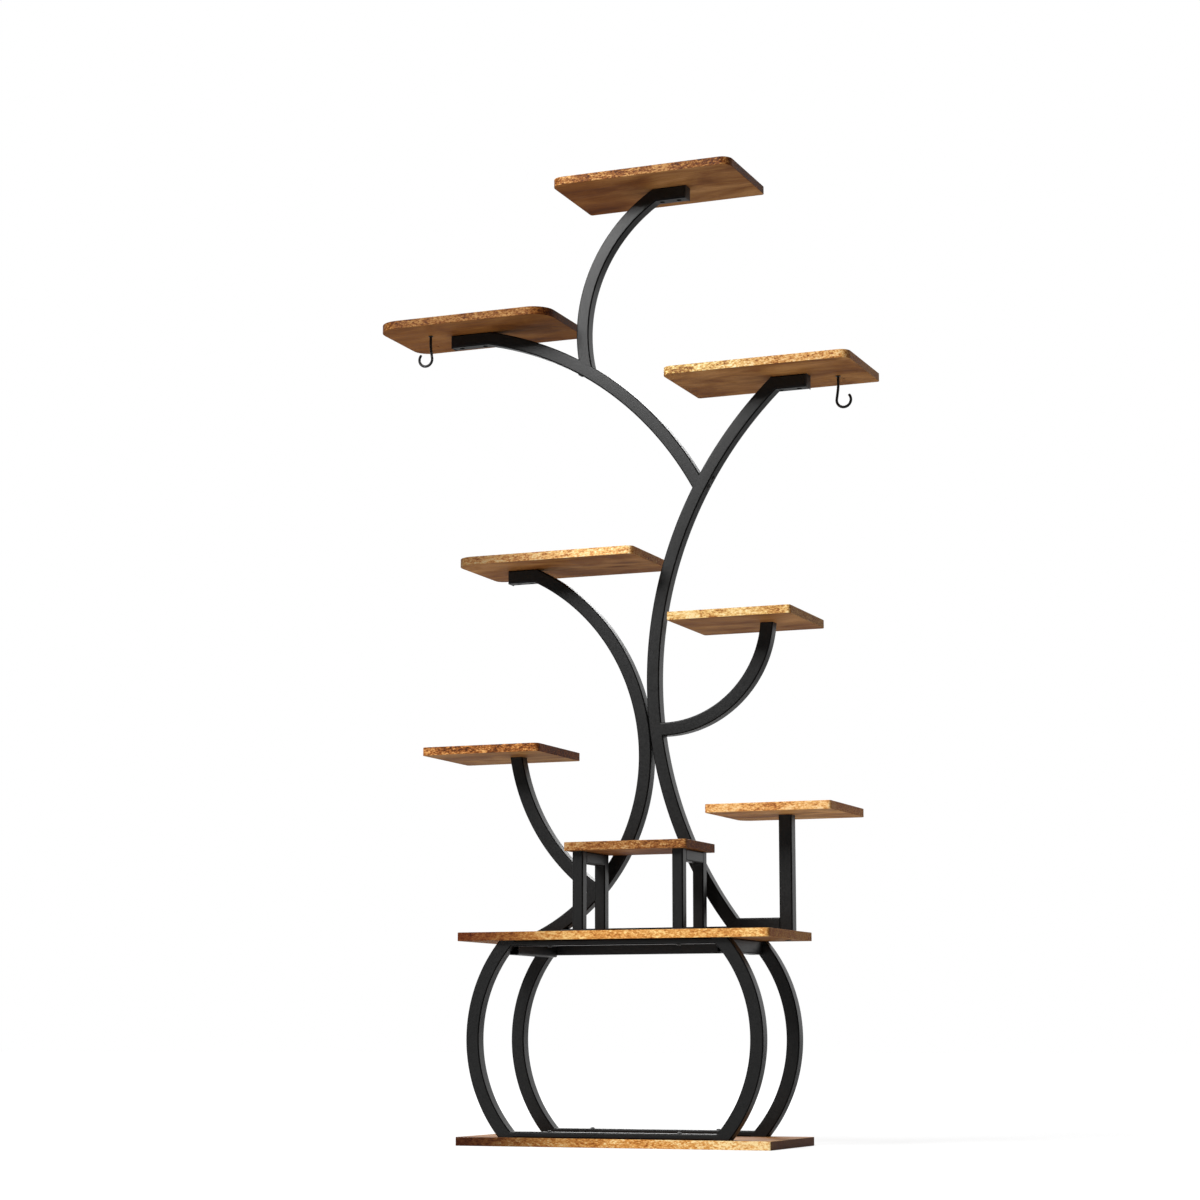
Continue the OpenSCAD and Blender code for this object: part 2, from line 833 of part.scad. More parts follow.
module right_post() {
    color(black) translate([post_x, tree_y, top_z]) difference() {
        translate([-half, -half, 0]) cube([tube_w, tube_w, under_7 - top_z]);
        translate([-bore_half, -bore_half, -over])
            cube([2 * bore_half, 2 * bore_half, under_7 - top_z + 2 * over]);
    }
}

// Level tube on the second shelf, from the trunk's foot to the post
module base_rail() {
    color(black) hollow(tree_y) {
        intersection() {
            translate([trunk_foot_x - tube_w, top_z]) square([post_x - half - trunk_foot_x + tube_w, tube_w]);
            disc(trunk_c, trunk_r - half);
        }
        translate([0, top_z + tube_wall]) square([far, 2 * bore_half]);
    }
}

// Flat bar on the second shelf, between the feet of the left arc and the trunk
module tie_bar() {
    color(black) hollow(tree_y) {
        difference() {
            translate([left_foot_x, top_z]) square([trunk_foot_x - left_foot_x, flat_h]);
            disc(left_low_c, left_low_r + half);
            disc(trunk_c, trunk_r + half);
        }
        translate([-far, top_z + tube_wall]) square([2 * far, flat_h - 2 * tube_wall]);
    }
}

// Solid plugs inside the tubes

module insert(c, foot, top) {
    side_slab(tree_y - plug_half, tree_y + plug_half) difference() {
        arc_strip(c, foot, along(c, foot, top, insert_l), plug_half, tube_w, 0);
        children();
    }
}

module branch_inserts() {
    color(steel) {
        difference() {
            insert(branch_1_c, branch_1_foot, branch_1_top) disc(branch_2_c, branch_2_r + half + plug_gap);
            bolt_hole(head_1, way_1, bolt_1_l);
        }
        difference() {
            insert(branch_2_c, branch_2_foot, branch_2_top) disc(trunk_c, trunk_r + half + plug_gap);
            bolt_hole(head_2, way_2, bolt_2_l);
        }
        difference() {
            insert(branch_5_c, branch_5_foot, branch_5_top) outside(trunk_c, trunk_r - half - plug_gap);
            bolt_hole(head_5, way_5, bolt_5_l);
        }
        difference() {
            insert(branch_6_c, branch_6_foot, branch_6_top) outside(left_low_c, left_low_r - half - plug_gap);
            bolt_hole(head_6, way_6, bolt_6_l);
        }
    }
}

module outside(c, r) {
    difference() {
        translate(c) square(2 * far, center = true);
        disc(c, r);
    }
}

// Plug in the top end of a branch, under a small shelf
module top_plug(c, foot, top, z) {
    difference() {
        side_slab(tree_y - plug_half, tree_y + plug_half) intersection() {
            arc_strip(c, along(c, top, foot, plug_l), top, plug_half, 0, tube_w);
            below(z);
        }
        post_screw_shape(top[0], z, screw_gap);
    }
}

module post_inserts() {
    color(steel) {
        top_plug(branch_5_c, branch_5_foot, branch_5_top, under_5);
        top_plug(branch_6_c, branch_6_foot, branch_6_top, under_6);
        difference() {
            translate([post_x - plug_half, tree_y - plug_half, under_7 - plug_l])
                cube([2 * plug_half, 2 * plug_half, plug_l]);
            post_screw_shape(post_x, under_7, screw_gap);
        }
    }
}

module foot_inserts() {
    color(steel) {
        difference() {
            side_slab(tree_y - plug_half, tree_y + plug_half) intersection() {
                arc_strip(left_low_c, left_foot, left_touch, plug_half, 2 * tube_w, 0);
                above(top_z);
                below(top_z + foot_plug_h);
            }
            bolt_hole([left_bolt_x, deck_z], [0, 1], board_t + foot_plug_h);
        }
        difference() {
            translate([post_x - plug_half, tree_y - plug_half, top_z])
                cube([2 * plug_half, 2 * plug_half, foot_plug_h]);
            bolt_hole([post_x, deck_z], [0, 1], board_t + foot_plug_h);
        }
    }
}

module foot_bolts() {
    color(steel) for (x = [left_bolt_x, post_x]) bolt([x, deck_z], [0, 1], board_t + foot_bolt_in);
}

module bracket_screws() {
    color(steel) {
        for (x = screws_1) hidden_screw(x, tree_y, under_1);
        for (x = screws_2) hidden_screw(x, tree_y, under_2);
        for (x = screws_3) hidden_screw(x, tree_y, under_3);
        for (x = screws_4) hidden_screw(x, tree_y, under_4);
    }
}

module post_screws() {
    color(steel) {
        post_screw_shape(branch_5_top_x, under_5, 0);
        post_screw_shape(branch_6_top_x, under_6, 0);
        post_screw_shape(post_x, under_7, 0);
    }
}

// Plate on a bracket's open end, with a plug in the tube
module bracket_cap(x, dir, z) {
    translate([x, tree_y, z]) mirror([dir > 0 ? 0 : 1, 0, 0]) {
        translate([0, -half, -tube_w - cap_drop]) cube([cap_t, tube_w, tube_w + cap_drop]);
        translate([-cap_plug_l, -plug_half, -half - plug_half])
            cube([cap_plug_l, 2 * plug_half, 2 * plug_half]);
    }
}

module bracket_caps() {
    color(plastic) {
        bracket_cap(branch_1_top_x + bracket_1_l, 1, under_1);
        bracket_cap(branch_2_top_x - bracket_2_l, -1, under_2);
        bracket_cap(trunk_top_x + bracket_3_l, 1, under_3);
        bracket_cap(left_top_x - bracket_4_l, -1, under_4);
    }
}

// Stool

stool_leg_y = stool_frame_d / 2 - stool_half;
stool_leg_x = stool_frame_w / 2 - stool_half;
stool_board_z = top_z + stool_h - board_t;
stool_rail_l = 2 * (stool_leg_y - stool_half);
stool_screw_y = stool_rail_l / 2 - stool_tube_w;

// Side frame: two upright tubes and a rail between their tops
module stool_frame(x) {
    z = top_z + stool_foot_t;
    color(black) difference() {
        union() {
            for (y = [stool_y - stool_leg_y, stool_y + stool_leg_y]) difference() {
                translate([x - stool_half, y - stool_half, z])
                    cube([stool_tube_w, stool_tube_w, stool_board_z - z]);
                translate([x - stool_bore_half, y - stool_bore_half, z - over])
                    cube([2 * stool_bore_half, 2 * stool_bore_half, stool_board_z - z - tube_wall + over]);
            }
            translate([x, stool_y, stool_board_z - stool_half]) difference() {
                cube([stool_tube_w, stool_rail_l, stool_tube_w], center = true);
                cube([2 * stool_bore_half, stool_rail_l + 1, 2 * stool_bore_half], center = true);
            }
        }
        for (y = [stool_y - stool_screw_y, stool_y + stool_screw_y])
            hidden_screw_holes(x, y, stool_board_z, stool_tube_w);
    }
}

module stool_left_frame() {
    stool_frame(stool_x - stool_leg_x);
}

module stool_right_frame() {
    stool_frame(stool_x + stool_leg_x);
}

module stool_board() {
    color(wood) difference() {
        board(stool_x, stool_y, stool_board_z, stool_w, stool_d, stool_corners);
        for (x = [-stool_leg_x, stool_leg_x], y = [-stool_screw_y, stool_screw_y])
            pilot(stool_x + x, stool_y + y, stool_board_z);
    }
}

module stool_feet() {
    color(plastic) for (x = [-stool_leg_x, stool_leg_x], y = [-stool_leg_y, stool_leg_y])
        translate([stool_x + x, stool_y + y, top_z]) {
            translate([-stool_half, -stool_half, 0]) cube([stool_tube_w, stool_tube_w, stool_foot_t]);
            translate([-stool_plug_half, -stool_plug_half, 0])
                cube([2 * stool_plug_half, 2 * stool_plug_half, stool_foot_t + stool_plug_l]);
        }
}

module stool_screws() {
    color(steel) for (x = [-stool_leg_x, stool_leg_x], y = [-stool_screw_y, stool_screw_y])
        hidden_screw(stool_x + x, stool_y + y, stool_board_z);
}

// Hooks

module hook_hole(x, y, z) {
    translate([x, y, z - over])
        cylinder(h = hook_thread_l + over + hook_gap, r = hook_wire / 2 + hook_gap);
}

module spare_hole(x, y, z) {
    translate([x, y, z - over]) cylinder(h = spare_hole_deep + over, r = spare_hole_d / 2);
}

// Wire hook under a board at height z, open to the right (1) or left (-1)
module hook(x, y, z, dir) {
    r = hook_wire / 2;
    bend_r = hook_bowl_r + r;
    bowl = [hook_bowl_out, -hook_bowl_drop];
    knee = [0, -hook_shank];
    // The slanted stretch leaves the knee and meets the bowl without a corner
    reach = norm(knee - bowl);
    meet = atan2(knee[1] - bowl[1], knee[0] - bowl[0]) + acos(bend_r / reach);
    slant = sqrt(reach * reach - bend_r * bend_r);
    slant_way = bowl + bend_r * [cos(meet), sin(meet)] - knee;
    tip = 360 + hook_tip_turn;
    color(black) translate([x, y, z]) mirror([dir > 0 ? 0 : 1, 0, 0]) {
        translate([0, 0, knee[1]]) cylinder(h = hook_shank + hook_thread_l, r = r);
        translate([0, 0, -collar_t]) cylinder(h = collar_t, r = collar_d / 2);
        translate([0, 0, knee[1]]) sphere(r = r + bend_swell);
        translate([0, 0, knee[1]]) rotate([0, 90 - atan2(slant_way[1], slant_way[0]), 0])
            cylinder(h = slant, r = r);
        translate([bowl[0] + bend_r * cos(meet), 0, bowl[1] + bend_r * sin(meet)]) sphere(r = r + bend_swell);
        translate([bowl[0], 0, bowl[1]]) rotate([90, 0, 0]) rotate([0, 0, meet])
            rotate_extrude(angle = tip - meet) translate([bend_r, 0]) circle(r = r);
        translate([bowl[0] + bend_r * cos(tip), 0, bowl[1] + bend_r * sin(tip)]) sphere(r = r + bend_swell);
    }
}

module hook_left() {
    hook(hook_left_x, hook_left_y, under_2, -1);
}

module hook_right() {
    hook(hook_right_x, hook_right_y, under_3, 1);
}

bottom_shelf();
second_shelf();
front_left_leg();
front_right_leg();
back_left_leg();
back_right_leg();
front_top_bar();
front_bottom_bar();
back_top_bar();
back_bottom_bar();
left_crossbar();
right_crossbar();
base_screws();
trunk_lower();
trunk_upper();
trunk_sleeve();
left_arc();
branch_1();
branch_2();
branch_5();
branch_6();
right_post();
base_rail();
tie_bar();
branch_inserts();
post_inserts();
foot_inserts();
bracket_caps();
tree_bolts();
sleeve_screws();
foot_bolts();
bracket_screws();
post_screws();
shelf_1();
shelf_2();
shelf_3();
shelf_4();
shelf_5();
shelf_6();
shelf_7();
stool_board();
stool_left_frame();
stool_right_frame();
stool_feet();
stool_screws();
hook_left();
hook_right();
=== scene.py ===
import math

import bmesh
import bpy
from mathutils import Matrix, Vector


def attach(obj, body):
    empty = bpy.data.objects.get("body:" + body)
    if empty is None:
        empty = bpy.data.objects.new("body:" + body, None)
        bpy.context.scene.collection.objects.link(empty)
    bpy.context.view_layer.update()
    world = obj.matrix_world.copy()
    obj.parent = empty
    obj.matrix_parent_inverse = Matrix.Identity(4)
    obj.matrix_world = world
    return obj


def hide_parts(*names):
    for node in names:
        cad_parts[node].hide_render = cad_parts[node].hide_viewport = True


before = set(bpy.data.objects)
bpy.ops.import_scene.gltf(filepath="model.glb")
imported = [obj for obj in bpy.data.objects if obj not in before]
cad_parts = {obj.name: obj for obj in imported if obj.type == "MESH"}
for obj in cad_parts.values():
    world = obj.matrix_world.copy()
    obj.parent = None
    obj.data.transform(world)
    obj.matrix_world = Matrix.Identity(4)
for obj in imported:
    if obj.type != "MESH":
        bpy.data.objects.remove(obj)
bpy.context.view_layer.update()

# Sizes in millimetres, as in the part's source. DECK_Z is the second shelf's underside, TOP_Z its top.
MM = 0.001
BOARD_T = 15
BASE_W, BASE_D = 580, 240
DECK_Z = 354
TOP_Z = DECK_Z + BOARD_T
LARGE_W, SMALL_W, SHELF_D = 350, 230, 200
TUBE = 24
HALF = TUBE / 2
STOOL_TUBE = 20
STOOL_HALF = STOOL_TUBE / 2
BACK_BAR_H = 20
WALL = 1.2
FLAT_H = 10
TREE_Y = 50
FRAME_Y = 98
BAR_SCREW_X = 120
LEG_END_X = 197
LEG_BOW = 66
POST_X = 268.5
STOOL_W, STOOL_D = 228, 150
STOOL_X, STOOL_Y = 26, -40
STOOL_LEG_X, STOOL_LEG_Y = 93, 51.5
STOOL_BOARD_Z = 508
STOOL_FOOT_T = 2

# Rounding of the tubes' corners, outside and inside, and of the boards' edges
TUBE_ROUND = 2.6
BORE_ROUND = 1.4
BOARD_ROUND = 0.7

# How far a tube's end reaches into the face that it meets
BITE = 0.05

# The tree: the undersides of shelves 1 to 7, and where its tubes start, touch, are spliced and end
UNDER = {1: 1741, 2: 1501, 3: 1362, 4: 1040, 5: 915, 6: 693, 7: 572}
TRUNK_R, TRUNK_FOOT_X = 717, 181
SPLICE_Z, TOUCH_Z = 1212, 733
LEFT_FOOT_X = 5 - LEG_END_X
BRANCH_1_R, BRANCH_1_FOOT_X = 293, -108
BRANCH_2_R, BRANCH_2_FOOT_Z = 637, 1170
BRANCH_5_R, BRANCH_5_TOP_X = 197, 238
BRANCH_6_R, BRANCH_6_FOOT_Z, BRANCH_6_TOP_X = 364, 446, -247

# Brackets under shelves 1 to 4: where the bend ends, the side it goes to, and its length
BRACKETS = {1: (27, 1, 61), 2: (-308, -1, 76), 3: (255, 1, 62), 4: (-210, -1, 53)}


# Geometry in the tree's plane: places are (x, z)

def vec(x, z):
    return Vector((x, z))


def left_of(v):
    return vec(-v.y, v.x)


def arc_centre(p, q, r, side):
    d = q - p
    return (p + q) / 2 + side * math.sqrt(r * r - d.dot(d) / 4) * left_of(d.normalized())


def arc_from(p, q, n):
    """Radius of the arc that leaves p at right angles to n and ends at q."""
    d = q - p
    return d.dot(d) / (2 * d.dot(n))


def at_z(c, r, z, side):
    return vec(c.x + side * math.sqrt(r * r - (z - c.y) ** 2), z)


def at_x(c, r, x, side):
    return vec(x, c.y + side * math.sqrt(r * r - (x - c.x) ** 2))


def turned(v, a):
    return vec(v.x * math.cos(a) - v.y * math.sin(a), v.x * math.sin(a) + v.y * math.cos(a))


def way(c, p, q):
    """1 if the arc round c from p to q turns left, and -1 if it turns right."""
    a, b = p - c, q - c
    return math.copysign(1, a.x * b.y - a.y * b.x)


def along(c, p, q, length):
    return c + turned(p - c, way(c, p, q) * length / (p - c).length)


def arrival(c, p, q):
    """Direction in which the arc round c from p arrives at q."""
    return way(c, p, q) * left_of((q - c).normalized())


def bend_end(k):
    """Where the curve under shelf k turns into its bracket."""
    return vec(BRACKETS[k][0], UNDER[k] - HALF)


trunk_foot = vec(TRUNK_FOOT_X, TOP_Z)
trunk_top = bend_end(3)
trunk_c = arc_centre(trunk_foot, trunk_top, TRUNK_R, -1)
splice = at_z(trunk_c, TRUNK_R, SPLICE_Z, -1)
touch = at_z(trunk_c, TRUNK_R, TOUCH_Z, -1)
touch_n = (touch - trunk_c).normalized()

left_touch = touch + TUBE * touch_n
left_foot = vec(LEFT_FOOT_X, TOP_Z)
left_top = bend_end(4)
low_r = arc_from(left_touch, left_foot, touch_n)
low_c = left_touch + low_r * touch_n
high_r = arc_from(left_touch, left_top, touch_n)
high_c = left_touch + high_r * touch_n

b2_foot = at_z(trunk_c, TRUNK_R, BRANCH_2_FOOT_Z, -1)
b2_top = bend_end(2)
b2_c = arc_centre(b2_foot, b2_top, BRANCH_2_R, 1)
b1_foot = at_x(b2_c, BRANCH_2_R, BRANCH_1_FOOT_X, 1)
b1_top = bend_end(1)
b1_c = arc_centre(b1_foot, b1_top, BRANCH_1_R, -1)
b5_top = vec(BRANCH_5_TOP_X, UNDER[5])
b5_c = arc_centre(touch, b5_top, BRANCH_5_R, 1)
b6_foot = at_z(low_c, low_r, BRANCH_6_FOOT_Z, 1)
b6_top = vec(BRANCH_6_TOP_X, UNDER[6])
b6_c = arc_centre(b6_foot, b6_top, BRANCH_6_R, -1)

base_clear = DECK_Z - BOARD_T
leg_r = base_clear ** 2 / (8 * LEG_BOW) + LEG_BOW / 2
leg_c = vec(LEG_END_X + LEG_BOW - leg_r, BOARD_T + base_clear / 2)


# Nodes of the materials

def blank_tree(owner):
    owner.use_nodes = True
    owner.node_tree.nodes.clear()
    return owner.node_tree


def surface(name):
    material = bpy.data.materials.new(name)
    nt = blank_tree(material)
    out = nt.nodes.new("ShaderNodeOutputMaterial")
    shader = nt.nodes.new("ShaderNodeBsdfPrincipled")
    nt.links.new(shader.outputs[0], out.inputs[0])
    return material, nt, shader


def add(nt, kind, inputs=None, **settings):
    n = nt.nodes.new("ShaderNode" + kind)
    for key, value in settings.items():
        setattr(n, key, value)
    for key, value in (inputs or {}).items():
        if isinstance(value, bpy.types.NodeSocket):
            nt.links.new(value, n.inputs[key])
        else:
            n.inputs[key].default_value = value
    return n


def coords(nt, kind):
    return add(nt, "TexCoord").outputs[kind]


def part_of(nt, vector, index):
    return add(nt, "SeparateXYZ", {0: vector}).outputs[index]


def stretched(nt, vector, scale, shift=(0, 0, 0)):
    return add(nt, "Mapping", {"Vector": vector, "Scale": scale, "Location": shift}).outputs[0]


def place(nt, scale=(1, 1, 1), shift=(0, 0, 0)):
    return stretched(nt, coords(nt, "Object"), scale, shift)


def noise(nt, vector, scale=1.0, detail=3.0, rough=0.5, warp=0.0):
    n = add(nt, "TexNoise", {"Vector": vector, "Scale": scale, "Detail": detail, "Roughness": rough,
                             "Distortion": warp})
    return n.outputs["Fac"]


def fit(nt, value, a, b, lo=0.0, hi=1.0, smooth=True):
    """Brings a value that runs from a to b to the range from lo to hi."""
    n = add(nt, "MapRange", {"Value": value, "From Min": a, "From Max": b, "To Min": lo, "To Max": hi})
    n.interpolation_type = "SMOOTHSTEP" if smooth else "LINEAR"
    return n.outputs[0]


def calc(nt, op, a, b=None):
    return add(nt, "Math", {0: a} if b is None else {0: a, 1: b}, operation=op).outputs[0]


def total(nt, first, *rest):
    """Sum of values, each with its weight."""
    value = calc(nt, "MULTIPLY", *first)
    for part, weight in rest:
        value = calc(nt, "ADD", value, calc(nt, "MULTIPLY", part, weight))
    return value


def ramp(nt, value, stops):
    n = add(nt, "ValToRGB", {0: value})
    bar = n.color_ramp
    while len(bar.elements) < len(stops):
        bar.elements.new(0.5)
    for e, (at, colour) in zip(bar.elements, stops):
        e.position = at
        e.color = (*colour, 1)
    return n.outputs[0]


def blend(nt, value, a, b, mode="MIX"):
    n = add(nt, "Mix", data_type="RGBA", blend_type=mode, clamp_factor=True)
    for socket, x in ((n.inputs[0], value), (n.inputs[6], a), (n.inputs[7], b)):
        if isinstance(x, bpy.types.NodeSocket):
            nt.links.new(x, socket)
        else:
            socket.default_value = (*x, 1) if isinstance(x, tuple) else x
    return n.outputs[2]


def from_left(nt, a, b, start, stop):
    """A colour that goes from a at a board's left end to b."""
    across = part_of(nt, coords(nt, "Generated"), 0)
    return blend(nt, fit(nt, across, start, stop), tuple(x * y for x, y in zip(a, b)), b)


def set_shader(nt, shader, colour, rough, height, strength, distance):
    nt.links.new(colour, shader.inputs["Base Color"])
    nt.links.new(rough, shader.inputs["Roughness"])
    n = add(nt, "Bump", {"Height": height, "Strength": strength, "Distance": distance})
    nt.links.new(n.outputs[0], shader.inputs["Normal"])


# Materials

PLAIN = (1, 1, 1)


def powder_coat(name, dark, light, rough, shine=0.5, corners=0.0):
    """Fine textured coat. corners is how much duller a tube's rounded corners are than its faces, which
    paints a dark line along them as painted shade.
    """
    m, nt, s = surface(name)
    co = place(nt)
    grain = noise(nt, co, 620, 2.0, 0.6)
    fine = noise(nt, co, 2600, 2.0, 0.5)
    cloud = noise(nt, co, 9, 3.0, 0.5)
    tone = fit(nt, total(nt, (grain, 0.8), (cloud, 0.2)), 0.38, 0.62)
    set_shader(nt, s, blend(nt, tone, dark, light),
               fit(nt, calc(nt, "ADD", grain, fine), 0.7, 1.3, rough - 0.06, rough + 0.08),
               calc(nt, "ADD", grain, calc(nt, "MULTIPLY", fine, 0.4)), 0.25, 0.0003)
    gloss = s.inputs["Specular IOR Level"]
    gloss.default_value = shine
    if corners:
        # Painted shade: less gloss on the rounded corners next to the front and back faces draws a dark
        # line along them
        facing = calc(nt, "ABSOLUTE", part_of(nt, coords(nt, "Normal"), 1))
        painted_corner_shade = calc(nt, "MULTIPLY", fit(nt, facing, 0.06, 0.3), fit(nt, facing, 0.99, 0.9))
        nt.links.new(fit(nt, painted_corner_shade, 0, 1, shine, shine * (1 - corners), smooth=False), gloss)
    return m


def wood_face(name, tone_and_painted_light=PLAIN, left=PLAIN):
    """Veneer with a long grain. The tint colours all of it, left its left end only; both are partly the
    veneer's tone and partly painted light and shade.
    """
    m, nt, s = surface(name)
    wobble = noise(nt, place(nt, (3.2, 9, 5)), 1.0, 2.0)
    shift = add(nt, "CombineXYZ", {1: calc(nt, "MULTIPLY", wobble, 0.05)}).outputs[0]
    co = add(nt, "VectorMath", {0: place(nt), 1: shift}, operation="ADD").outputs[0]

    def grain(sx, sy, detail, rough=0.5, warp=0.0):
        return noise(nt, stretched(nt, co, (sx, sy, 9)), 1.0, detail, rough, warp)

    band = grain(2.2, 26, 3.0)
    streak = grain(7, 150, 5.0, 0.6)
    hair = grain(28, 820, 4.0, 0.6)
    smoke = grain(9, 17, 4.0, 0.55, 0.6)
    pore = grain(60, 1300, 2.0)
    value = total(nt, (band, 0.28), (streak, 0.2), (smoke, 0.52))
    colour = ramp(nt, fit(nt, value, 0.34, 0.66, smooth=False), [
        (0.0, (0.15, 0.055, 0.015)), (0.3, (0.25, 0.101, 0.03)),
        (0.6, (0.38, 0.178, 0.06)), (1.0, (0.56, 0.295, 0.118))])
    colour = blend(nt, fit(nt, hair, 0.42, 0.62, 0.0, 0.5), colour, (0.56, 0.47, 0.4), "MULTIPLY")
    colour = blend(nt, fit(nt, pore, 0.6, 0.7, 0.0, 0.6), colour, (0.42, 0.33, 0.28), "MULTIPLY")
    # A few knots, long in the grain's direction
    cells = add(nt, "TexVoronoi", {"Vector": stretched(nt, co, (4.5, 13, 13)), "Scale": 1.0})
    draw = add(nt, "SeparateColor", {0: cells.outputs["Color"]}).outputs[0]
    knot = calc(nt, "MULTIPLY", fit(nt, cells.outputs["Distance"], 0.2, 0.03), fit(nt, draw, 0.6, 0.62))
    colour = blend(nt, calc(nt, "MULTIPLY", knot, 0.8), colour, (0.3, 0.2, 0.15), "MULTIPLY")
    # Painted light and shade, partly the veneer's tone: the face is multiplied by the board's tint, and
    # towards its left end by left
    colour = blend(nt, 1.0, colour, from_left(nt, left, tone_and_painted_light, 0.1, 0.8), "MULTIPLY")
    set_shader(nt, s, colour, fit(nt, streak, 0.3, 0.7, 0.52, 0.66),
               total(nt, (hair, 0.6), (streak, 0.4)), 0.3, 0.0004)
    s.inputs["Specular IOR Level"].default_value = 0.06
    return m


def wood_edge(name, tones, left=PLAIN, fade=0.5, spread=0.13, ends=(0.5, 0.38, 0.3), right=0.0):
    """Speckled edge in four tones, dark to pale, with painted shade on the board's short ends.

    left colours its left end, up to the share of the length in fade. A wider spread softens the flecks.
    right makes its right end paler.
    """
    m, nt, s = surface(name)
    area = noise(nt, place(nt, (13, 13, 26)), 1.0, 3.0, 0.55)
    grains = noise(nt, place(nt, (115, 170, 300)), 1.0, 2.5, 0.7, 0.3)
    specks = noise(nt, place(nt, (260, 330, 520), (3, 5, 2)), 1.0, 2.0, 0.6)
    value = total(nt, (grains, 0.55), (specks, 0.45))
    value = calc(nt, "ADD", value, fit(nt, area, 0.3, 0.7, -0.07, 0.07, smooth=False))
    if right:
        across = part_of(nt, coords(nt, "Generated"), 0)
        value = calc(nt, "ADD", value, fit(nt, across, 0.5, 0.95, 0.0, right))
    stops = list(zip((0.0, 0.3, 0.62, 1.0), tones))
    colour = ramp(nt, fit(nt, value, 0.5 - spread, 0.5 + spread, smooth=False), stops)
    colour = blend(nt, 1.0, colour, from_left(nt, left, PLAIN, 0.0, fade), "MULTIPLY")
    # Painted shade: faces that look along X, the board's short ends, are multiplied by ends
    facing = part_of(nt, coords(nt, "Normal"), 0)
    end_shade_mask = fit(nt, calc(nt, "ABSOLUTE", facing), 0.5, 0.95)
    colour = blend(nt, end_shade_mask, colour, blend(nt, 1.0, colour, ends, "MULTIPLY"))
    set_shader(nt, s, colour, fit(nt, grains, 0.3, 0.7, 0.5, 0.64),
               calc(nt, "ADD", grains, specks), 0.25, 0.0003)
    s.inputs["Specular IOR Level"].default_value = 0.12
    return m


def steel(name, colour, rough):
    m, nt, s = surface(name)
    co = place(nt)
    cloud = noise(nt, co, 240, 3.0, 0.5)
    set_shader(nt, s, blend(nt, cloud, tuple(c * 0.85 for c in colour), colour),
               fit(nt, cloud, 0.3, 0.7, rough - 0.05, rough + 0.1), noise(nt, co, 1800, 2.0), 0.2, 0.0002)
    s.inputs["Metallic"].default_value = 1.0
    return m


def plastic(name, colour, rough):
    m, nt, s = surface(name)
    co = place(nt)
    grain = noise(nt, co, 1500, 2.0, 0.5)
    cloud = noise(nt, co, 120, 2.0, 0.5)
    set_shader(nt, s, blend(nt, cloud, tuple(c * 0.8 for c in colour), colour),
               fit(nt, grain, 0.3, 0.7, rough - 0.05, rough + 0.08), grain, 0.3, 0.0002)
    return m


TUBE_MAT = powder_coat("powder_coat_black", (0.003, 0.003, 0.003), (0.009, 0.009, 0.0088),
                       rough=0.38, shine=0.38, corners=0.9)
BOLT_MAT = powder_coat("black_oxide", (0.008, 0.008, 0.008), (0.016, 0.016, 0.016), rough=0.34)
HOOK_MAT = powder_coat("black_lacquer", (0.006, 0.006, 0.006), (0.012, 0.012, 0.012), rough=0.3, shine=0.4)
STEEL_MAT = steel("zinc_plate", (0.55, 0.55, 0.56), rough=0.35)
PLASTIC_MAT = plastic("black_moulding", (0.012, 0.012, 0.012), rough=0.5)
# ends in each edge below is the painted shade of its board's short ends
EDGE_MATS = {
    "tan": wood_edge("rustic_edge", [
        (0.3, 0.095, 0.022), (0.61, 0.25, 0.067), (0.85, 0.46, 0.15), (0.95, 0.66, 0.34)]),
    "sand": wood_edge("rustic_edge_sand", [
        (0.35, 0.123, 0.034), (0.76, 0.36, 0.115), (0.98, 0.64, 0.25), (1.0, 0.86, 0.54)],
        left=(0.22, 0.18, 0.15), fade=0.85),
    "amber": wood_edge("rustic_edge_amber", [
        (0.044, 0.0094, 0.0013), (0.13, 0.035, 0.0053), (0.24, 0.085, 0.015), (0.42, 0.22, 0.075)],
        left=(0.85, 0.85, 0.85), fade=1.0, spread=0.125),
    "light": wood_edge("rustic_edge_light", [
        (0.28, 0.1, 0.024), (0.56, 0.275, 0.075), (0.79, 0.51, 0.18), (0.9, 0.71, 0.38)]),
    "honey": wood_edge("rustic_edge_honey", [
        (0.18, 0.053, 0.012), (0.43, 0.168, 0.04), (0.67, 0.36, 0.112), (0.81, 0.57, 0.29)],
        left=(1.22, 1.65, 2.0), fade=0.75, spread=0.125),
    "orange": wood_edge("rustic_edge_orange", [
        (0.033, 0.0065, 0.001), (0.1, 0.025, 0.004), (0.21, 0.066, 0.012), (0.44, 0.22, 0.07)],
        left=(1.9, 2.3, 2.8), fade=0.8, spread=0.12),
    "brown": wood_edge("rustic_edge_brown", [
        (0.057, 0.015, 0.0033), (0.156, 0.045, 0.009), (0.37, 0.12, 0.024), (0.7, 0.35, 0.11)],
        spread=0.12),
    "base": wood_edge("rustic_edge_base", [
        (0.3, 0.09, 0.015), (0.57, 0.22, 0.045), (0.76, 0.37, 0.095), (1.0, 0.68, 0.27)],
        left=(0.19, 0.095, 0.07), fade=0.5, spread=0.14, ends=(0.4, 0.3, 0.22), right=0.03),
    "dark": wood_edge("rustic_edge_dark", [
        (0.3, 0.09, 0.015), (0.57, 0.22, 0.043), (0.77, 0.38, 0.1), (1.0, 0.76, 0.38)],
        left=(0.085, 0.042, 0.028), fade=0.6, spread=0.14, ends=(0.12, 0.06, 0.035), right=0.08),
    "stool": wood_edge("rustic_edge_stool", [
        (0.09, 0.024, 0.005), (0.24, 0.08, 0.018), (0.42, 0.185, 0.048), (0.6, 0.4, 0.19)],
        left=(0.85, 0.8, 0.75), fade=1.0),
}
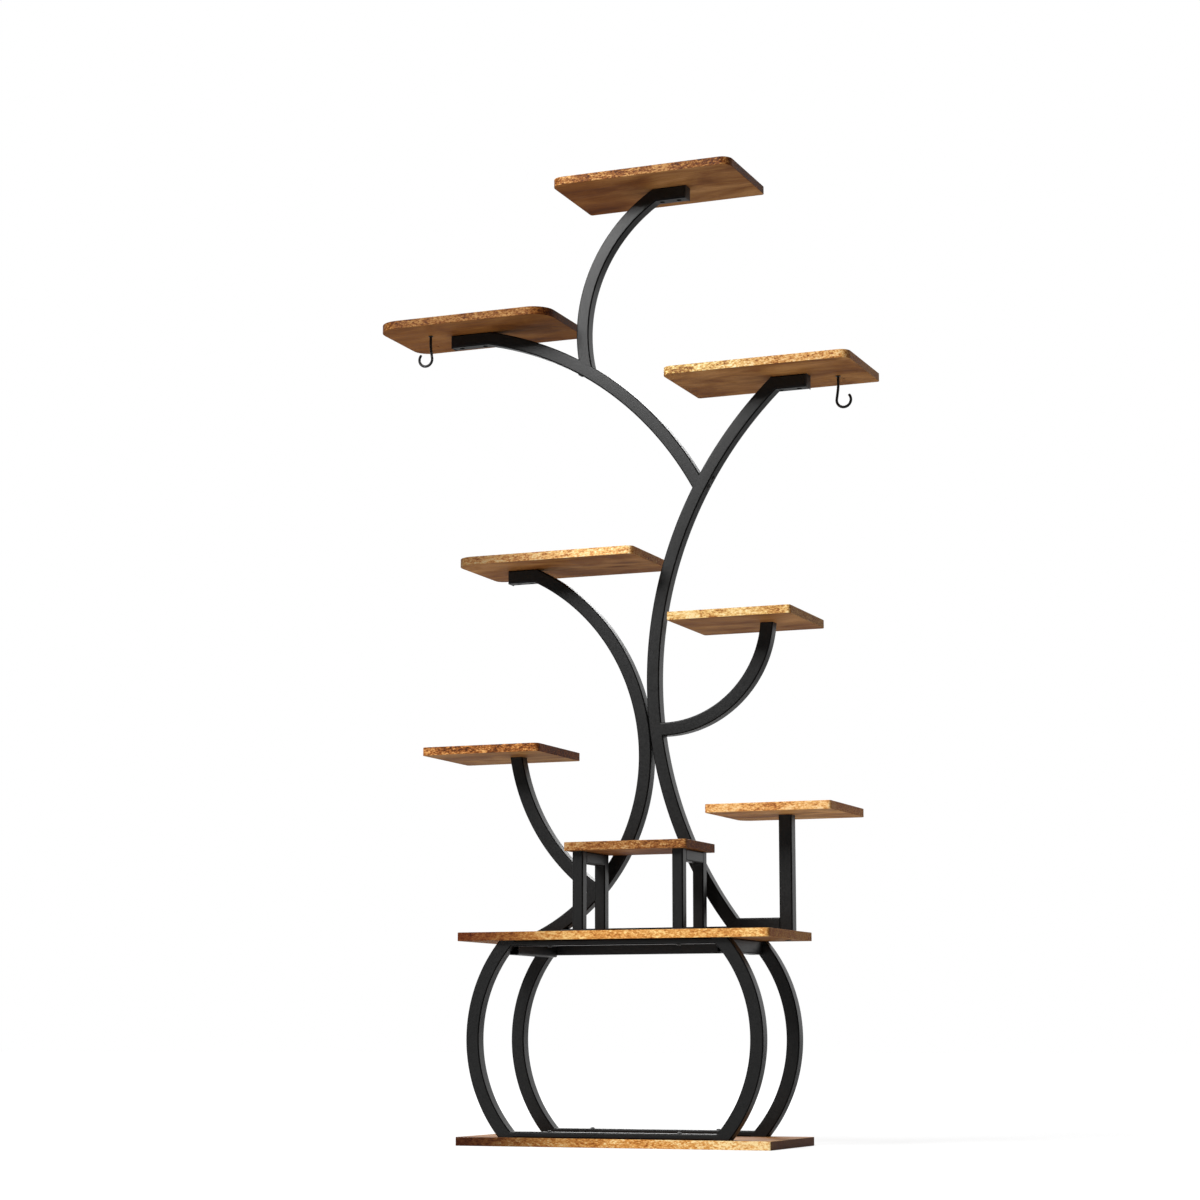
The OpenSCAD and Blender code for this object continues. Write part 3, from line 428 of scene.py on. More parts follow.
# Tint of a board's faces, and what its left end is multiplied by. Partly the veneer's tone, partly painted
# light and shade: shelf 7's underside, seen most edge-on, is made much paler as a painted sheen, and shelf
# 1's left end darker as painted shade
FACE_TONE_AND_PAINTED_LIGHT = {
    "shelf_1": ((1.08, 1.12, 1.1), (0.66, 0.5, 0.32)),
    "shelf_2": ((0.7, 0.61, 0.42), (1.16, 1.14, 1.22)),
    "shelf_3": ((1.14, 1.13, 1.0),),
    "shelf_4": ((1.0, 0.98, 0.85),),
    "shelf_5": ((1.11, 1.14, 1.07),),
    "shelf_6": ((1.12, 1.2, 1.15),),
    "shelf_7": ((1.8, 1.95, 1.9),),
}


# Mesh building

def link(piece):
    bpy.context.scene.collection.objects.link(piece)
    return piece


def finish_piece(name, mesh, body, node, angle=32, weighted=True):
    """Makes the object of a finished mesh. Edges sharper than angle stay sharp."""
    piece = link(bpy.data.objects.new(name, mesh))
    mesh.polygons.foreach_set("use_smooth", [True] * len(mesh.polygons))
    mesh.set_sharp_from_angle(angle=math.radians(angle))
    if weighted:
        mod = piece.modifiers.new("normals", "WEIGHTED_NORMAL")
        mod.keep_sharp = True
    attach(piece, body)
    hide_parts(node)


def mesh_from(name, bm, *materials):
    bmesh.ops.recalc_face_normals(bm, faces=bm.faces)
    mesh = bpy.data.meshes.new(name)
    bm.to_mesh(mesh)
    bm.free()
    for m in materials:
        mesh.materials.append(m)
    return mesh


def join_rings(bm, a, b):
    for i in range(len(a)):
        j = (i + 1) % len(a)
        bm.faces.new((a[i], a[j], b[j], b[i]))


def join_all(bm, rings):
    for a, b in zip(rings, rings[1:]):
        join_rings(bm, a, b)


def ring_edges(bm, ring):
    return [bm.edges.get(pair) or bm.edges.new(pair) for pair in zip(ring, ring[1:] + ring[:1])]


def fill(bm, *loops):
    """Closes an outline that has holes in it."""
    edges = [e for ring in loops for e in ring_edges(bm, ring)]
    bmesh.ops.triangle_fill(bm, edges=edges, use_beauty=True, use_dissolve=False)


def around(r, n):
    """Points of a circle in its own plane."""
    return [(r * math.cos(2 * math.pi * k / n), r * math.sin(2 * math.pi * k / n)) for k in range(n)]


def circle_ring(bm, x, y, z, r):
    return [bm.verts.new(Vector((x + dx, y + dy, z)) * MM) for dx, dy in around(r, 24)]


def profile(hu, hv, r, n=4):
    """Outline of a rounded rectangle, from its half sizes."""
    points = []
    for su, sv, start in ((1, 1, 0), (-1, 1, 90), (-1, -1, 180), (1, -1, 270)):
        for k in range(n + 1):
            a = math.radians(start + 90 * k / n)
            points.append((su * (hu - r) + r * math.cos(a), sv * (hv - r) + r * math.sin(a)))
    return points


def add_tube(bm, line, hu=HALF, hv=HALF):
    """Hollow tube. line(u, v) gives the way of the point at (u, v) of its cross section."""
    skins = []
    for points in (profile(hu, hv, TUBE_ROUND), profile(hu - WALL, hv - WALL, BORE_ROUND)):
        ways = [line(u, v) for u, v in points]
        skins.append([[bm.verts.new(w[k] * MM) for w in ways] for k in range(len(ways[0]))])
    for rings in skins:
        join_all(bm, rings)
    outer, inner = skins
    for end in (0, -1):
        join_rings(bm, outer[end], inner[end])


def add_block(bm, lo, hi, r):
    size = [(b - a) * MM for a, b in zip(lo, hi)]
    mid = [(a + b) / 2 * MM for a, b in zip(lo, hi)]
    m = Matrix.Translation(mid) @ Matrix.Diagonal((*size, 1))
    made = bmesh.ops.create_cube(bm, size=1, matrix=m)
    edges = {e for v in made["verts"] for e in v.link_edges}
    bmesh.ops.bevel(bm, geom=list(edges), offset=r * MM, segments=3, affect="EDGES", profile=0.5)


def turned_to(at, direction):
    """Matrix that brings +Z to a direction, at a place."""
    turn = Vector((0, 0, 1)).rotation_difference(Vector(direction)).to_matrix().to_4x4()
    return Matrix.Translation(Vector(at) * MM) @ turn


def bore(mesh, holes):
    """Cuts round holes into a mesh: each is (place of the middle, axis, radius, length)."""
    bm = bmesh.new()
    for at, axis, r, length in holes:
        bmesh.ops.create_cone(bm, cap_ends=True, segments=28, radius1=r * MM, radius2=r * MM,
                              depth=length * MM, matrix=turned_to(at, axis))
    cutter = link(bpy.data.objects.new("cutter", mesh_from("cutter", bm)))
    target = link(bpy.data.objects.new("target", mesh))
    mod = target.modifiers.new("cut", "BOOLEAN")
    mod.object = cutter
    mod.solver = "EXACT"
    graph = bpy.context.evaluated_depsgraph_get()
    result = bpy.data.meshes.new_from_object(target.evaluated_get(graph))
    for o in (cutter, target):
        bpy.data.objects.remove(o)
    return result


# Round faces, and ends of the bent tubes: an end gives the angle round c at a radius rho and a depth v

def drop(v):
    """How much lower a tube's rounded face lies at a distance v from its middle."""
    over = abs(v) - (HALF - TUBE_ROUND)
    return 0 if over <= 0 else TUBE_ROUND - math.sqrt(max(0.0, TUBE_ROUND ** 2 - over * over))


def face_radius(r, sign, v):
    """Radius of the rounded outer (1) or inner (-1) face of a curved tube, at a depth."""
    return r + sign * (HALF - drop(v) - BITE)


def angle_of(c, p):
    return math.atan2(p.y - c.y, p.x - c.x)


def cut_at(c, p):
    angle = angle_of(c, p)
    return lambda rho, v: angle


def cut_z(c, z, side):
    return lambda rho, v: math.atan2(z - c.y, side * math.sqrt(rho * rho - (z - c.y) ** 2))


def cut_ring(c, c2, r2, sign, near):
    """Where the tube meets the outer face (1) or inner face (-1) of the tube round c2."""
    def at(rho, v):
        r = face_radius(r2, sign, v)
        d = c2 - c
        a = (rho * rho - r * r + d.dot(d)) / (2 * d.length)
        h = math.sqrt(max(0.0, rho * rho - a * a))
        e = d.normalized()
        return angle_of(c, min((c + a * e + s * h * left_of(e) for s in (-1, 1)),
                               key=lambda q: (q - near).length))
    return at


def cut_mitre(c, q, d, side):
    m = (d + vec(side, 0)).normalized()

    def at(rho, v):
        u = rho - (q - c).length
        return math.atan2(q.y + u - c.y, q.x - m.y * u / m.x - c.x)
    return at


# Ways of the tubes, in steps of about this length where they are bent

ARC_STEP = 6.5


def short_way(a):
    return (a + math.pi) % (2 * math.pi) - math.pi


def arc_points(c, rho, a, b, n):
    sweep = short_way(b - a)
    angles = [a + sweep * k / n for k in range(n + 1)]
    return [c + rho * vec(math.cos(t), math.sin(t)) for t in angles]


def arc_steps(c, r, start, end):
    sweep = abs(short_way(end(r, 0) - start(r, 0)))
    return max(2, round(r * sweep / ARC_STEP))


def bent(parts, bracket=None, y=TREE_Y, mirror=False):
    """parts: (centre, radius, start, end). bracket: (end of the curve, direction there, side, length)."""
    steps = [arc_steps(*p) for p in parts]

    def line(u, v):
        points = []
        for (c, r, start, end), n in zip(parts, steps):
            more = arc_points(c, r + u, start(r + u, v), end(r + u, v), n)
            points += more[1:] if points else more
        if bracket:
            q, d, side, length = bracket
            m = (d + vec(side, 0)).normalized()
            points[-1] = vec(q.x - m.y * u / m.x, q.y + u)
            points.append(vec(q.x + side * length, q.y + u))
        flip = -1 if mirror else 1
        return [Vector((flip * p.x, y + v, p.y)) for p in points]
    return line


def upright(x, y, z0, z1):
    return lambda u, v: [Vector((x + u, y + v, z0)), Vector((x + u, y + v, z1))]


def crosswise(x, y0, y1, z):
    return lambda u, v: [Vector((x + u, y0, z + v)), Vector((x + u, y1, z + v))]


def level(x0, x1, y, z):
    """Level tube along X. Its ends may be functions of the height and the depth."""
    def line(u, v):
        ends = [x(z + u, v) if callable(x) else x for x in (x0, x1)]
        return [Vector((x, y + v, z + u)) for x in ends]
    return line


def ring_face(c, r, sign, side):
    """Place, at a height, of the rounded outer (1) or inner (-1) face of a curved tube."""
    def at(z, v):
        rho = face_radius(r, sign, v)
        return c.x + side * math.sqrt(rho * rho - (z - c.y) ** 2)
    return at


# Making the tubes, with round holes below the screws. A bracket's screws are placed from its two ends.

ACCESS_R, ACCESS_CUT = 4.75, 6
SCREW_FROM_BEND, SCREW_FROM_END = 12, 16


def access(xs, z, y=TREE_Y, h=TUBE):
    """Holes in the lower wall of a level tube whose top is at z, under its screws."""
    return [((x, y, z - h), (0, 0, 1), ACCESS_R, ACCESS_CUT) for x in xs]


def screw_places(k):
    x, side, length = BRACKETS[k]
    return [x + side * SCREW_FROM_BEND, x + side * (length - SCREW_FROM_END)]


def tube_piece(node, lines, body="stand", holes=(), half=(HALF, HALF)):
    """A tube or a frame of tubes. half is half their height and half their depth."""
    bm = bmesh.new()
    for line in lines:
        add_tube(bm, line, *half)
    mesh = mesh_from(node + "_tube", bm, TUBE_MAT)
    if holes:
        mesh = bore(mesh, holes)
    finish_piece(node + "_tube", mesh, body, node)


def bracket_tube(node, k, arcs, p):
    """Tube whose last arc, given without its end, goes from p into the bracket of shelf k."""
    side, length = BRACKETS[k][1:]
    c, q = arcs[-1][0], bend_end(k)
    d = arrival(c, p, q)
    arcs = arcs[:-1] + [(*arcs[-1], cut_mitre(c, q, d, side))]
    tube_piece(node, [bent(arcs, (q, d, side, length))], holes=access(screw_places(k), UNDER[k]))


# Tubes of the tree
tube_piece("trunk_lower", [bent([(trunk_c, TRUNK_R, cut_z(trunk_c, TOP_Z, -1), cut_at(trunk_c, splice))])])
bracket_tube("trunk_upper", 3, [(trunk_c, TRUNK_R, cut_at(trunk_c, splice))], splice)
bracket_tube("left_arc", 4, [(low_c, low_r, cut_z(low_c, TOP_Z, 1), cut_at(low_c, left_touch)),
                             (high_c, high_r, cut_at(high_c, left_touch))], left_touch)
bracket_tube("branch_2", 2, [(b2_c, BRANCH_2_R, cut_ring(b2_c, trunk_c, TRUNK_R, 1, b2_foot))], b2_foot)
bracket_tube("branch_1", 1, [(b1_c, BRANCH_1_R, cut_ring(b1_c, b2_c, BRANCH_2_R, 1, b1_foot))], b1_foot)
tube_piece("branch_5", [bent([(b5_c, BRANCH_5_R, cut_ring(b5_c, trunk_c, TRUNK_R, -1, touch),
                               cut_z(b5_c, UNDER[5], 1))])])
tube_piece("branch_6", [bent([(b6_c, BRANCH_6_R, cut_ring(b6_c, low_c, low_r, -1, b6_foot),
                               cut_z(b6_c, UNDER[6], -1))])])
tube_piece("right_post", [upright(POST_X, TREE_Y, TOP_Z, UNDER[7])])
tube_piece("base_rail", [level(ring_face(trunk_c, TRUNK_R, -1, -1), POST_X - HALF + BITE, TREE_Y,
                               TOP_Z + HALF)])
tube_piece("tie_bar", [level(ring_face(low_c, low_r, 1, 1), ring_face(trunk_c, TRUNK_R, 1, -1), TREE_Y,
                             TOP_Z + FLAT_H / 2)], half=(FLAT_H / 2, HALF))

# Tubes of the base frames
for node, mirror, y in (("front_left_leg", True, -FRAME_Y), ("front_right_leg", False, -FRAME_Y),
                        ("back_left_leg", True, FRAME_Y), ("back_right_leg", False, FRAME_Y)):
    tube_piece(node, [bent([(leg_c, leg_r, cut_z(leg_c, BOARD_T, 1), cut_z(leg_c, DECK_Z, 1))],
                           y=y, mirror=mirror)])

leg_face = ring_face(leg_c, leg_r, -1, 1)
for node, y, z, h in (("front_top_bar", -FRAME_Y, DECK_Z - FLAT_H, FLAT_H),
                      ("front_bottom_bar", -FRAME_Y, BOARD_T, FLAT_H),
                      ("back_bottom_bar", FRAME_Y, BOARD_T, FLAT_H),
                      ("back_top_bar", FRAME_Y, DECK_Z - BACK_BAR_H, BACK_BAR_H)):
    holes = access([-BAR_SCREW_X, BAR_SCREW_X], DECK_Z, FRAME_Y, h) if h == BACK_BAR_H else ()
    tube_piece(node, [level(lambda height, v: -leg_face(height, v), leg_face, y, z + h / 2)],
               holes=holes, half=(h / 2, HALF))

# Crossbars, with plates in their ends and a drain hole that the leg covers
PLATE_OVERLAP = 0.1
DRAIN_R, DRAIN_OUT, DRAIN_PAST = 2, 6, 2
for node, side in (("left_crossbar", -1), ("right_crossbar", 1)):
    x, y, z = side * LEG_END_X, FRAME_Y - HALF, DECK_Z - HALF
    bm = bmesh.new()
    add_tube(bm, crosswise(x, -y - BITE, y + BITE, z))
    inner = HALF - WALL + PLATE_OVERLAP
    for end in (-y, y - WALL):
        add_block(bm, (x - inner, end, z - inner), (x + inner, end + WALL, z + inner), 0.2)
    mesh = bore(mesh_from(node + "_tube", bm, TUBE_MAT),
                [((x + side * DRAIN_OUT, 0, z), (0, 1, 0), DRAIN_R, 2 * (y + DRAIN_PAST))])
    finish_piece(node + "_tube", mesh, "stand", node)

# Tubes of the stool
rail_y = STOOL_LEG_Y - STOOL_HALF
stool_screw_y = rail_y - STOOL_TUBE
for node, x in (("stool_left_frame", STOOL_X - STOOL_LEG_X), ("stool_right_frame", STOOL_X + STOOL_LEG_X)):
    holes = []
    for s in (-1, 1):
        holes += access([x], STOOL_BOARD_Z, STOOL_Y + s * stool_screw_y, STOOL_TUBE)
    tube_piece(node, [
        upright(x, STOOL_Y - STOOL_LEG_Y, TOP_Z + STOOL_FOOT_T, STOOL_BOARD_Z),
        upright(x, STOOL_Y + STOOL_LEG_Y, TOP_Z + STOOL_FOOT_T, STOOL_BOARD_Z),
        crosswise(x, STOOL_Y - rail_y - BITE, STOOL_Y + rail_y + BITE, STOOL_BOARD_Z - STOOL_HALF),
    ], "stool", holes, (STOOL_HALF, STOOL_HALF))


# Boards, with a spare pilot hole below two of them and countersinks for the posts' screws

PILOT_R, PILOT_DEPTH = 2.5, 8
SINK_MOUTH_R, SINK_NECK_R, SINK_DEPTH = 5.15, 2.65, 2.85


def board_outline(x, y, w, d, radii, inset, n=10):
    """Outline with its own radius at each corner: front left, front right, back right, back left."""
    points = []
    corners = ((-1, -1, 180), (1, -1, 270), (1, 1, 0), (-1, 1, 90))
    for (sx, sy, start), r in zip(corners, radii):
        cx, cy = x + sx * (w / 2 - r), y + sy * (d / 2 - r)
        for k in range(n + 1):
            a = math.radians(start + 90 * k / n)
            points.append((cx + (r - inset) * math.cos(a), cy + (r - inset) * math.sin(a)))
    return points


def hole(bm, x, y, z, r, floor_z, floor_r):
    """Walls and floor of a hole in a board. Gives the ring of its mouth."""
    mouth = circle_ring(bm, x, y, z, r)
    floor = circle_ring(bm, x, y, floor_z, floor_r)
    join_rings(bm, mouth, floor)
    bm.faces.new(floor)
    return mouth


def board(name, node, x, y, z, w, d, radii, tone, pits=(), sinks=(), body="stand"):
    """A board with softly rounded edges. pits are pilot holes below, sinks are countersinks on top."""
    bm = bmesh.new()
    levels = []
    for k in range(4):
        t = math.radians(30 * k)
        levels.append((BOARD_ROUND * (1 - math.sin(t)), z + BOARD_ROUND * (1 - math.cos(t))))
    levels += [(e, 2 * z + BOARD_T - h) for e, h in reversed(levels)]
    rings = [[bm.verts.new(Vector((px, py, h)) * MM) for px, py in board_outline(x, y, w, d, radii, e)]
             for e, h in levels]
    join_all(bm, rings)
    top_z = z + BOARD_T
    below = [hole(bm, px, py, z, PILOT_R, z + PILOT_DEPTH, PILOT_R) for px, py in pits]
    above = [hole(bm, px, py, top_z, SINK_MOUTH_R, top_z - SINK_DEPTH, SINK_NECK_R) for px, py in sinks]
    fill(bm, rings[0], *below)
    fill(bm, rings[-1], *above)
    face = wood_face("rustic_veneer_" + name, *FACE_TONE_AND_PAINTED_LIGHT.get(node, ()))
    mesh = mesh_from(name, bm, face, EDGE_MATS[tone])
    for p in mesh.polygons:
        p.material_index = 0 if abs(p.normal.z) > 0.8 else 1
    finish_piece(name, mesh, body, node, angle=50)


SHELVES = {
    1: (30, LARGE_W, (24, 20, 5, 5), "orange", (), ()),
    2: (-329, LARGE_W, (45, 40, 8, 30), "amber", [(-443, 102)], ()),
    3: (247, LARGE_W, (20, 18, 5, 5), "honey", [(368, 102)], ()),
    4: (-159, LARGE_W, (36, 12, 5, 16), "sand", (), ()),
    5: (196, SMALL_W, (5, 6, 5, 5), "light", (), [(b5_top.x, TREE_Y)]),
    6: (-281, SMALL_W, (8, 12, 5, 5), "brown", (), [(b6_top.x, TREE_Y)]),
    7: (265, SMALL_W, (7, 6, 5, 24), "tan", (), [(POST_X, TREE_Y)]),
}
for k, (x, w, radii, tone, pits, sinks) in SHELVES.items():
    board("shelf_%d_board" % k, "shelf_%d" % k, x, TREE_Y, UNDER[k], w, SHELF_D, radii, tone, pits, sinks)
board("bottom_shelf_board", "bottom_shelf", 0, 0, 0, BASE_W, BASE_D, (4, 4, 4, 4), "dark")
board("second_shelf_board", "second_shelf", 0, 0, DECK_Z, BASE_W, BASE_D, (6, 8, 4, 4), "base")
board("stool_top_board", "stool_board", STOOL_X, STOOL_Y, STOOL_BOARD_Z, STOOL_W, STOOL_D, (4, 4, 4, 4),
      "stool", body="stool")


# Fasteners: built along +Z, the way they are driven, with the head's underside at z = 0

# How far screws go into a board, and bolts into and past their inserts
GRIP = 10
REACH, PAST = 18, 6
SLEEVE_SCREW_AT, SLEEVE_SCREW_L = 22, 6
POST_SCREW_L = 31
BUTTON_R, BUTTON_PLAY = 5.5, 0.5


def add_fastener(bm, at, direction, rim, shape, recess, depth):
    """shape: (radius, height) from the middle of the head. rim is the edge of its flat top."""
    m = turned_to(at, direction)

    def ring(points, z):
        return [bm.verts.new(m @ (Vector((x, y, z)) * MM)) for x, y in points]

    top = shape[0][1]
    rings = [ring(around(r, 24), z) for r, z in [(rim, top)] + shape[1:]]
    join_all(bm, rings)
    bm.faces.new(rings[-1])
    mouth = ring(recess, top)
    floor = ring([(x * 0.8, y * 0.8) for x, y in recess], top + depth)
    join_rings(bm, mouth, floor)
    bm.faces.new(floor)
    fill(bm, rings[0], mouth)


def cross_recess(a, b):
    """Outline of a cross: a is half an arm's width, b its reach."""
    quarter = [(b, a), (a, a), (a, b)]
    return (quarter + [(-x, y) for x, y in reversed(quarter)] + [(-x, -y) for x, y in quarter]
            + [(x, -y) for x, y in reversed(quarter)])


def pan_screw(bm, at, direction, length):
    h, r = 2.4, 4.0
    shape = [(0, -h), (r * 0.72, -h * 0.88), (r * 0.93, -h * 0.55), (r, -h * 0.2), (r, 0), (2, 0),
             (2, length - 3), (0.4, length)]
    add_fastener(bm, at, direction, r * 0.5, shape, cross_recess(0.42, 1.65), 1.4)


def button_bolt(bm, at, direction, length):
    h, r = 1.8, BUTTON_R
    shape = [(0, -h), (r * 0.78, -h * 0.84), (r * 0.93, -h * 0.52), (r, -h * 0.18), (r * 0.98, 0), (3, 0),
             (3, length - 0.8), (2.4, length)]
    add_fastener(bm, at, direction, r * 0.55, shape, around(2.3, 6), 1.5)


def flush_screw(bm, at, length):
    """Countersunk screw driven down, with its flat top at the given place."""
    shape = [(0, 0), (4.85, 0), (5, 0.12), (2.5, 2.7), (2.5, length - 4), (0.4, length)]
    add_fastener(bm, at, (0, 0, -1), 3.0, shape, cross_recess(0.5, 2.4), 1.8)


def in_tree(p):
    """Place on the tree's middle plane."""
    return (p.x, TREE_Y, p.y)


def tree_way(d):
    return (d.x, 0, d.y)


def branch_bolt(bm, c, p, q, parent, parent_r, sign):
    """Bolt through a parent tube, from its far face, into the foot of the branch round c from p to q.

    The head lies on the parent's inner face where sign is 1, and on its outer face where it is -1.
    """
    end = along(c, p, q, REACH)
    out = (end - parent).normalized()
    face = parent_r - sign * HALF
    length = abs((end - parent).length - face) + PAST
    button_bolt(bm, in_tree(parent + face * out), tree_way(sign * out), length)


def fastener_set(kind, bm, body="stand"):
    name = kind + "_set"
    finish_piece(name, mesh_from(name, bm, BOLT_MAT), body, kind + "s", angle=28,
                 weighted=False)


bm = bmesh.new()
for k in BRACKETS:
    for x in screw_places(k):
        pan_screw(bm, (x, TREE_Y, UNDER[k] - WALL), (0, 0, 1), WALL + GRIP)
fastener_set("bracket_screw", bm)

bm = bmesh.new()
for sx in (-1, 1):
    for sy in (-1, 1):
        x, y = STOOL_X + sx * STOOL_LEG_X, STOOL_Y + sy * stool_screw_y
        pan_screw(bm, (x, y, STOOL_BOARD_Z - WALL), (0, 0, 1), WALL + GRIP)
fastener_set("stool_screw", bm, "stool")

bm = bmesh.new()
for x in (-BAR_SCREW_X, BAR_SCREW_X):
    pan_screw(bm, (x, -FRAME_Y, DECK_Z - FLAT_H), (0, 0, 1), FLAT_H + GRIP)
    pan_screw(bm, (x, FRAME_Y, DECK_Z - WALL), (0, 0, 1), WALL + GRIP)
    for y in (-FRAME_Y, FRAME_Y):
        pan_screw(bm, (x, y, BOARD_T + FLAT_H), (0, 0, -1), FLAT_H + GRIP)
fastener_set("base_screw", bm)

bm = bmesh.new()
for x, k in ((b5_top.x, 5), (b6_top.x, 6), (POST_X, 7)):
    flush_screw(bm, (x, TREE_Y, UNDER[k] + BOARD_T), POST_SCREW_L)
fastener_set("post_screw", bm)

bm = bmesh.new()
branch_bolt(bm, b1_c, b1_foot, b1_top, b2_c, BRANCH_2_R, 1)
branch_bolt(bm, b2_c, b2_foot, b2_top, trunk_c, TRUNK_R, 1)
button_bolt(bm, in_tree(touch + (TUBE + HALF) * touch_n), tree_way(-touch_n), TUBE + HALF + REACH + PAST)
branch_bolt(bm, b6_c, b6_foot, b6_top, low_c, low_r, -1)
fastener_set("tree_bolt", bm)

bm = bmesh.new()
for turn, side in ((-1, 1), (1, -1)):
    d = turned((splice - trunk_c).normalized(), turn * SLEEVE_SCREW_AT / TRUNK_R)
    pan_screw(bm, in_tree(trunk_c + (TRUNK_R + side * HALF) * d), tree_way(-side * d), SLEEVE_SCREW_L)
fastener_set("sleeve_screw", bm)

bm = bmesh.new()
for x in (HALF + BUTTON_R + BUTTON_PLAY - LEG_END_X, POST_X):
    button_bolt(bm, (x, TREE_Y, DECK_Z), (0, 0, 1), BOARD_T + GRIP)
fastener_set("foot_bolt", bm)


# Moulded pieces: a plate outside and a plug with a little play inside the tube

PLUG_PLAY = 0.15
CAP_T, CAP_PLUG, CAP_BELOW = 1.5, 8, 1
FOOT_PLUG, FOOT_OVERLAP = 10, 1

bm = bmesh.new()
for k, (x, side, length) in BRACKETS.items():
    face = x + side * length
    z = UNDER[k] - HALF
    lo, hi = sorted((face, face + side * CAP_T))
    add_block(bm, (lo, TREE_Y - HALF, z - HALF - CAP_BELOW), (hi, TREE_Y + HALF, z + HALF), 0.45)
    lo, hi = sorted((face - side * CAP_PLUG, face))
    inner = HALF - WALL - PLUG_PLAY
    add_block(bm, (lo, TREE_Y - inner, z - inner), (hi, TREE_Y + inner, z + inner), 0.5)
finish_piece("bracket_cap_set", mesh_from("bracket_cap_set", bm, PLASTIC_MAT), "stand", "bracket_caps")

bm = bmesh.new()
for sx in (-1, 1):
    for sy in (-1, 1):
        x, y = STOOL_X + sx * STOOL_LEG_X, STOOL_Y + sy * STOOL_LEG_Y
        z = TOP_Z + STOOL_FOOT_T
        add_block(bm, (x - STOOL_HALF, y - STOOL_HALF, TOP_Z), (x + STOOL_HALF, y + STOOL_HALF, z), 0.6)
        inner = STOOL_HALF - WALL - PLUG_PLAY
        add_block(bm, (x - inner, y - inner, z - FOOT_OVERLAP), (x + inner, y + inner, z + FOOT_PLUG), 0.6)
finish_piece("stool_foot_set", mesh_from("stool_foot_set", bm, PLASTIC_MAT), "stool", "stool_feet")


# Hooks, drawn in their own plane: a threaded end in the board, a shank, a knee and a bowl

WIRE_R = 2.5
SHANK = 22
SHANK_HEIGHTS = (11, 5, 0, -8, -15)
KNEE = 7
BOWL_R, BOWL_OUT, BOWL_DROP = 10.8 + WIRE_R, 10, 45
TIP_TURN = math.radians(400)
# The thread's blunt end, and the tip's dome as (how far on, share of the wire's radius)
BLUNT, TIP_SHARE = 0.6, 0.95
TIP_DOME = ((0.5, 0.9), (1.0, 0.72), (1.35, 0.42))
# The collar's half section, as (radius, height)
COLLAR = [(2.1, 0), (4.4, 0), (4.5, -0.25), (4.5, -1.2), (4.2, -1.55), (2.1, -1.6)]


def hook_line():
    """The wire's middle line."""
    bowl, knee = vec(BOWL_OUT, -BOWL_DROP), vec(0, -SHANK)
    meet = angle_of(bowl, knee) + math.acos(BOWL_R / (knee - bowl).length)
    start = bowl + BOWL_R * vec(math.cos(meet), math.sin(meet))
    d = (start - knee).normalized()
    points = [vec(0, h) for h in SHANK_HEIGHTS]
    a, b = knee + vec(0, KNEE), knee + KNEE * d
    points += [a * (1 - t) ** 2 + knee * 2 * t * (1 - t) + b * t * t for t in [k / 8 for k in range(9)]]
    points += [b.lerp(start, t) for t in (0.35, 0.7)]
    turns = [meet + (TIP_TURN - meet) * k / 30 for k in range(31)]
    return points + [bowl + BOWL_R * vec(math.cos(t), math.sin(t)) for t in turns]


def hook(name, node, body, x, y, z, side):
    points = hook_line()
    shares = [1.0] * len(points)
    shares[0], shares[-1] = BLUNT, TIP_SHARE
    tip, tail = points[-1], (points[-1] - points[-2]).normalized()
    for step, share in TIP_DOME:
        points.append(tip + tail * step)
        shares.append(share)
    bm = bmesh.new()
    rings = []
    for k, (p, share) in enumerate(zip(points, shares)):
        t = (points[min(k + 1, len(points) - 1)] - points[max(k - 1, 0)]).normalized()
        ring = []
        for across, deep in around(WIRE_R * share, 16):
            q = p + left_of(t) * across
            ring.append(bm.verts.new(Vector((x + side * q.x, y + deep, z + q.y)) * MM))
        rings.append(ring)
    join_all(bm, rings)
    bm.faces.new(rings[0])
    bm.faces.new(rings[-1])
    collar = [circle_ring(bm, x, y, z + h, r) for r, h in COLLAR]
    join_all(bm, collar + collar[:1])
    finish_piece(name, mesh_from(name, bm, HOOK_MAT), body, node, angle=45, weighted=False)


hook("left_hook_wire", "hook_left", "left_hook", -423, 26, UNDER[2], -1)
hook("right_hook_wire", "hook_right", "right_hook", 365, 79, UNDER[3], 1)

# Inner parts that stay as they come from the frame
for node in ("trunk_sleeve", "branch_inserts", "post_inserts", "foot_inserts"):
    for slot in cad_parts[node].material_slots:
        slot.material = STEEL_MAT


# Floor, light and camera

FLOOR_SIZE = 30
WHITE = (1, 1, 1, 1)
FRAME_PIXELS, FOCAL_PIXELS, SENSOR = 1200, 2706, 36
CAMERA_AT = (1.755, -4.477, 0.182)
CAMERA_PITCH, CAMERA_TURN = 9.233, 22.13


def white_stage(name):
    """White where the camera sees it, and a grey floor for everything else."""
    material = bpy.data.materials.new(name)
    nt = blank_tree(material)
    out = nt.nodes.new("ShaderNodeOutputMaterial")
    rays = add(nt, "LightPath")
    # A little less white near the object, where its shadow falls
    away = add(nt, "VectorMath", {0: coords(nt, "Object")}, operation="LENGTH").outputs["Value"]
    glow = add(nt, "Emission", {"Color": WHITE, "Strength": fit(nt, away, 1.2, 3.2, 0.78, 1.0)})
    shade = add(nt, "BsdfDiffuse", {"Color": (0.3, 0.3, 0.3, 1)})
    seen = add(nt, "AddShader", {0: shade.outputs[0], 1: glow.outputs[0]})
    plain = add(nt, "BsdfDiffuse", {"Color": (0.62, 0.62, 0.62, 1)})
    shown = calc(nt, "MAXIMUM", rays.outputs["Is Camera Ray"], rays.outputs["Is Transmission Ray"])
    mix = add(nt, "MixShader", {0: shown, 1: plain.outputs[0], 2: seen.outputs[0]})
    nt.links.new(mix.outputs[0], out.inputs[0])
    return material


